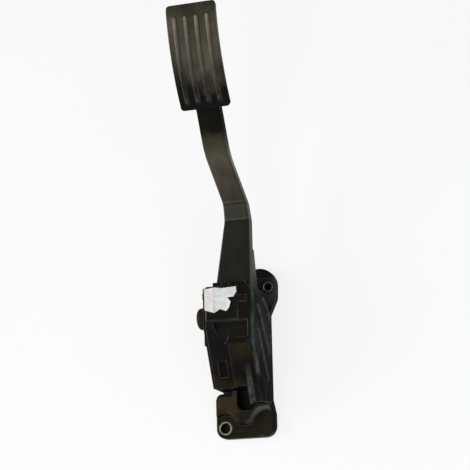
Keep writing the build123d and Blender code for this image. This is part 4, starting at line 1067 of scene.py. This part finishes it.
class PEDAL_OT_studio(bpy.types.Operator):
    """Lays the floor, hangs the lamps and sets up the camera"""

    bl_idname = "pedal.studio"
    bl_label = "Studio"

    def execute(self, context):
        studio = context.scene.pedal_studio
        target = Vector(studio.camera_target)
        bpy.ops.object.select_all(action="DESELECT")
        bpy.ops.mesh.primitive_plane_add(size=FLOOR_SIZE, location=(0, 0, -FLOOR_DROP))
        floor = context.object
        floor.name = "studio_floor"
        bpy.ops.object.transform_apply(location=True, rotation=True, scale=True)
        floor.data.materials.append(finish_of("floor"))
        white = (1.0, 1.0, 1.0)

        # Each lamp's name, its place from the camera's target, its width, power and colour
        for name, place, size, power, tint in (
                ("key_lamp", (-0.20, -0.21, 0.60), 0.36, studio.key_power, studio.warm),
                ("side_lamp", (1.1, 0.15, 0.70), 0.9, studio.side_power, studio.cool),
                ("toe_lamp", (0.62, -0.95, 0.72), 0.8, studio.toe_power, studio.cool),
                ("fill_lamp", (-2.2, 0.0, 0.74), 1.6, studio.fill_power, white)):
            self.lamp(name, target + Vector(place), target, size, power, tint)

        world = bpy.data.worlds.new("studio_surround")
        world.use_nodes = True
        context.scene.world = world
        background = world.node_tree.nodes["Background"]
        background.inputs["Color"].default_value = (1, 1, 1, 1)
        background.inputs["Strength"].default_value = studio.sky_strength

        back = Vector(studio.camera_back).normalized()
        across = (X_AXIS - back * back.x).normalized()
        turn = Matrix((across, back.cross(across), back)).transposed()
        turn = turn @ Matrix.Rotation(studio.camera_roll, 3, "Z")
        bpy.ops.object.camera_add(location=target + back * studio.camera_distance,
                                  rotation=turn.to_euler())
        camera = context.object
        camera.name = "photo_camera"
        camera.data.lens = studio.camera_lens
        context.scene.camera = camera
        context.scene.view_settings.view_transform = "Standard"
        return {"FINISHED"}

    @staticmethod
    def lamp(name, place, target, size, power, tint):
        """A square soft lamp that faces a point."""
        turn = (place - target).to_track_quat("Z", "Y").to_euler()
        bpy.ops.object.light_add(type="AREA", location=place, rotation=turn)
        lamp = bpy.context.object
        lamp.name = name
        lamp.data.size = size
        lamp.data.energy = power
        lamp.data.color = tint
        lamp.visible_camera = False


class PEDAL_PT_sidebar(bpy.types.Panel):
    """Lists the steps that finish the pedal"""

    bl_label = "Accelerator Pedal"
    bl_idname = "PEDAL_PT_sidebar"
    bl_space_type = "VIEW_3D"
    bl_region_type = "UI"
    bl_category = "Pedal"

    def draw(self, context):
        for step in STEPS:
            self.layout.operator(step.bl_idname)
        for group in (context.scene.pedal_sizes, context.scene.pedal_colours,
                      context.scene.pedal_studio):
            box = self.layout.box()
            for key in group.bl_rna.properties.keys():
                if key not in ("rna_type", "name"):
                    box.prop(group, key)


GROUPS = {"pedal_sizes": PedalSizes, "pedal_colours": PedalColours, "pedal_studio": StudioSettings}
STEPS = (PEDAL_OT_housing, PEDAL_OT_covers, PEDAL_OT_lever, PEDAL_OT_screws, PEDAL_OT_sleeves,
         PEDAL_OT_springs, PEDAL_OT_paper_label, PEDAL_OT_sensor, PEDAL_OT_running_gear,
         PEDAL_OT_studio)
CLASSES = (*GROUPS.values(), *STEPS, PEDAL_PT_sidebar)


def register():
    for item in CLASSES:
        bpy.utils.register_class(item)
    for name, group in GROUPS.items():
        setattr(bpy.types.Scene, name, PointerProperty(type=group))


def unregister():
    for name in GROUPS:
        delattr(bpy.types.Scene, name)
    for item in reversed(CLASSES):
        bpy.utils.unregister_class(item)


def main():
    register()
    bpy.ops.object.select_all(action="DESELECT")
    bpy.ops.pedal.housing()
    bpy.ops.pedal.covers()
    bpy.ops.pedal.lever()
    bpy.ops.pedal.screws()
    bpy.ops.pedal.sleeves()
    bpy.ops.pedal.springs()
    bpy.ops.pedal.paper_label()
    bpy.ops.pedal.sensor()
    bpy.ops.pedal.running_gear()
    bpy.ops.pedal.studio()


if __name__ == "__main__":
    main()
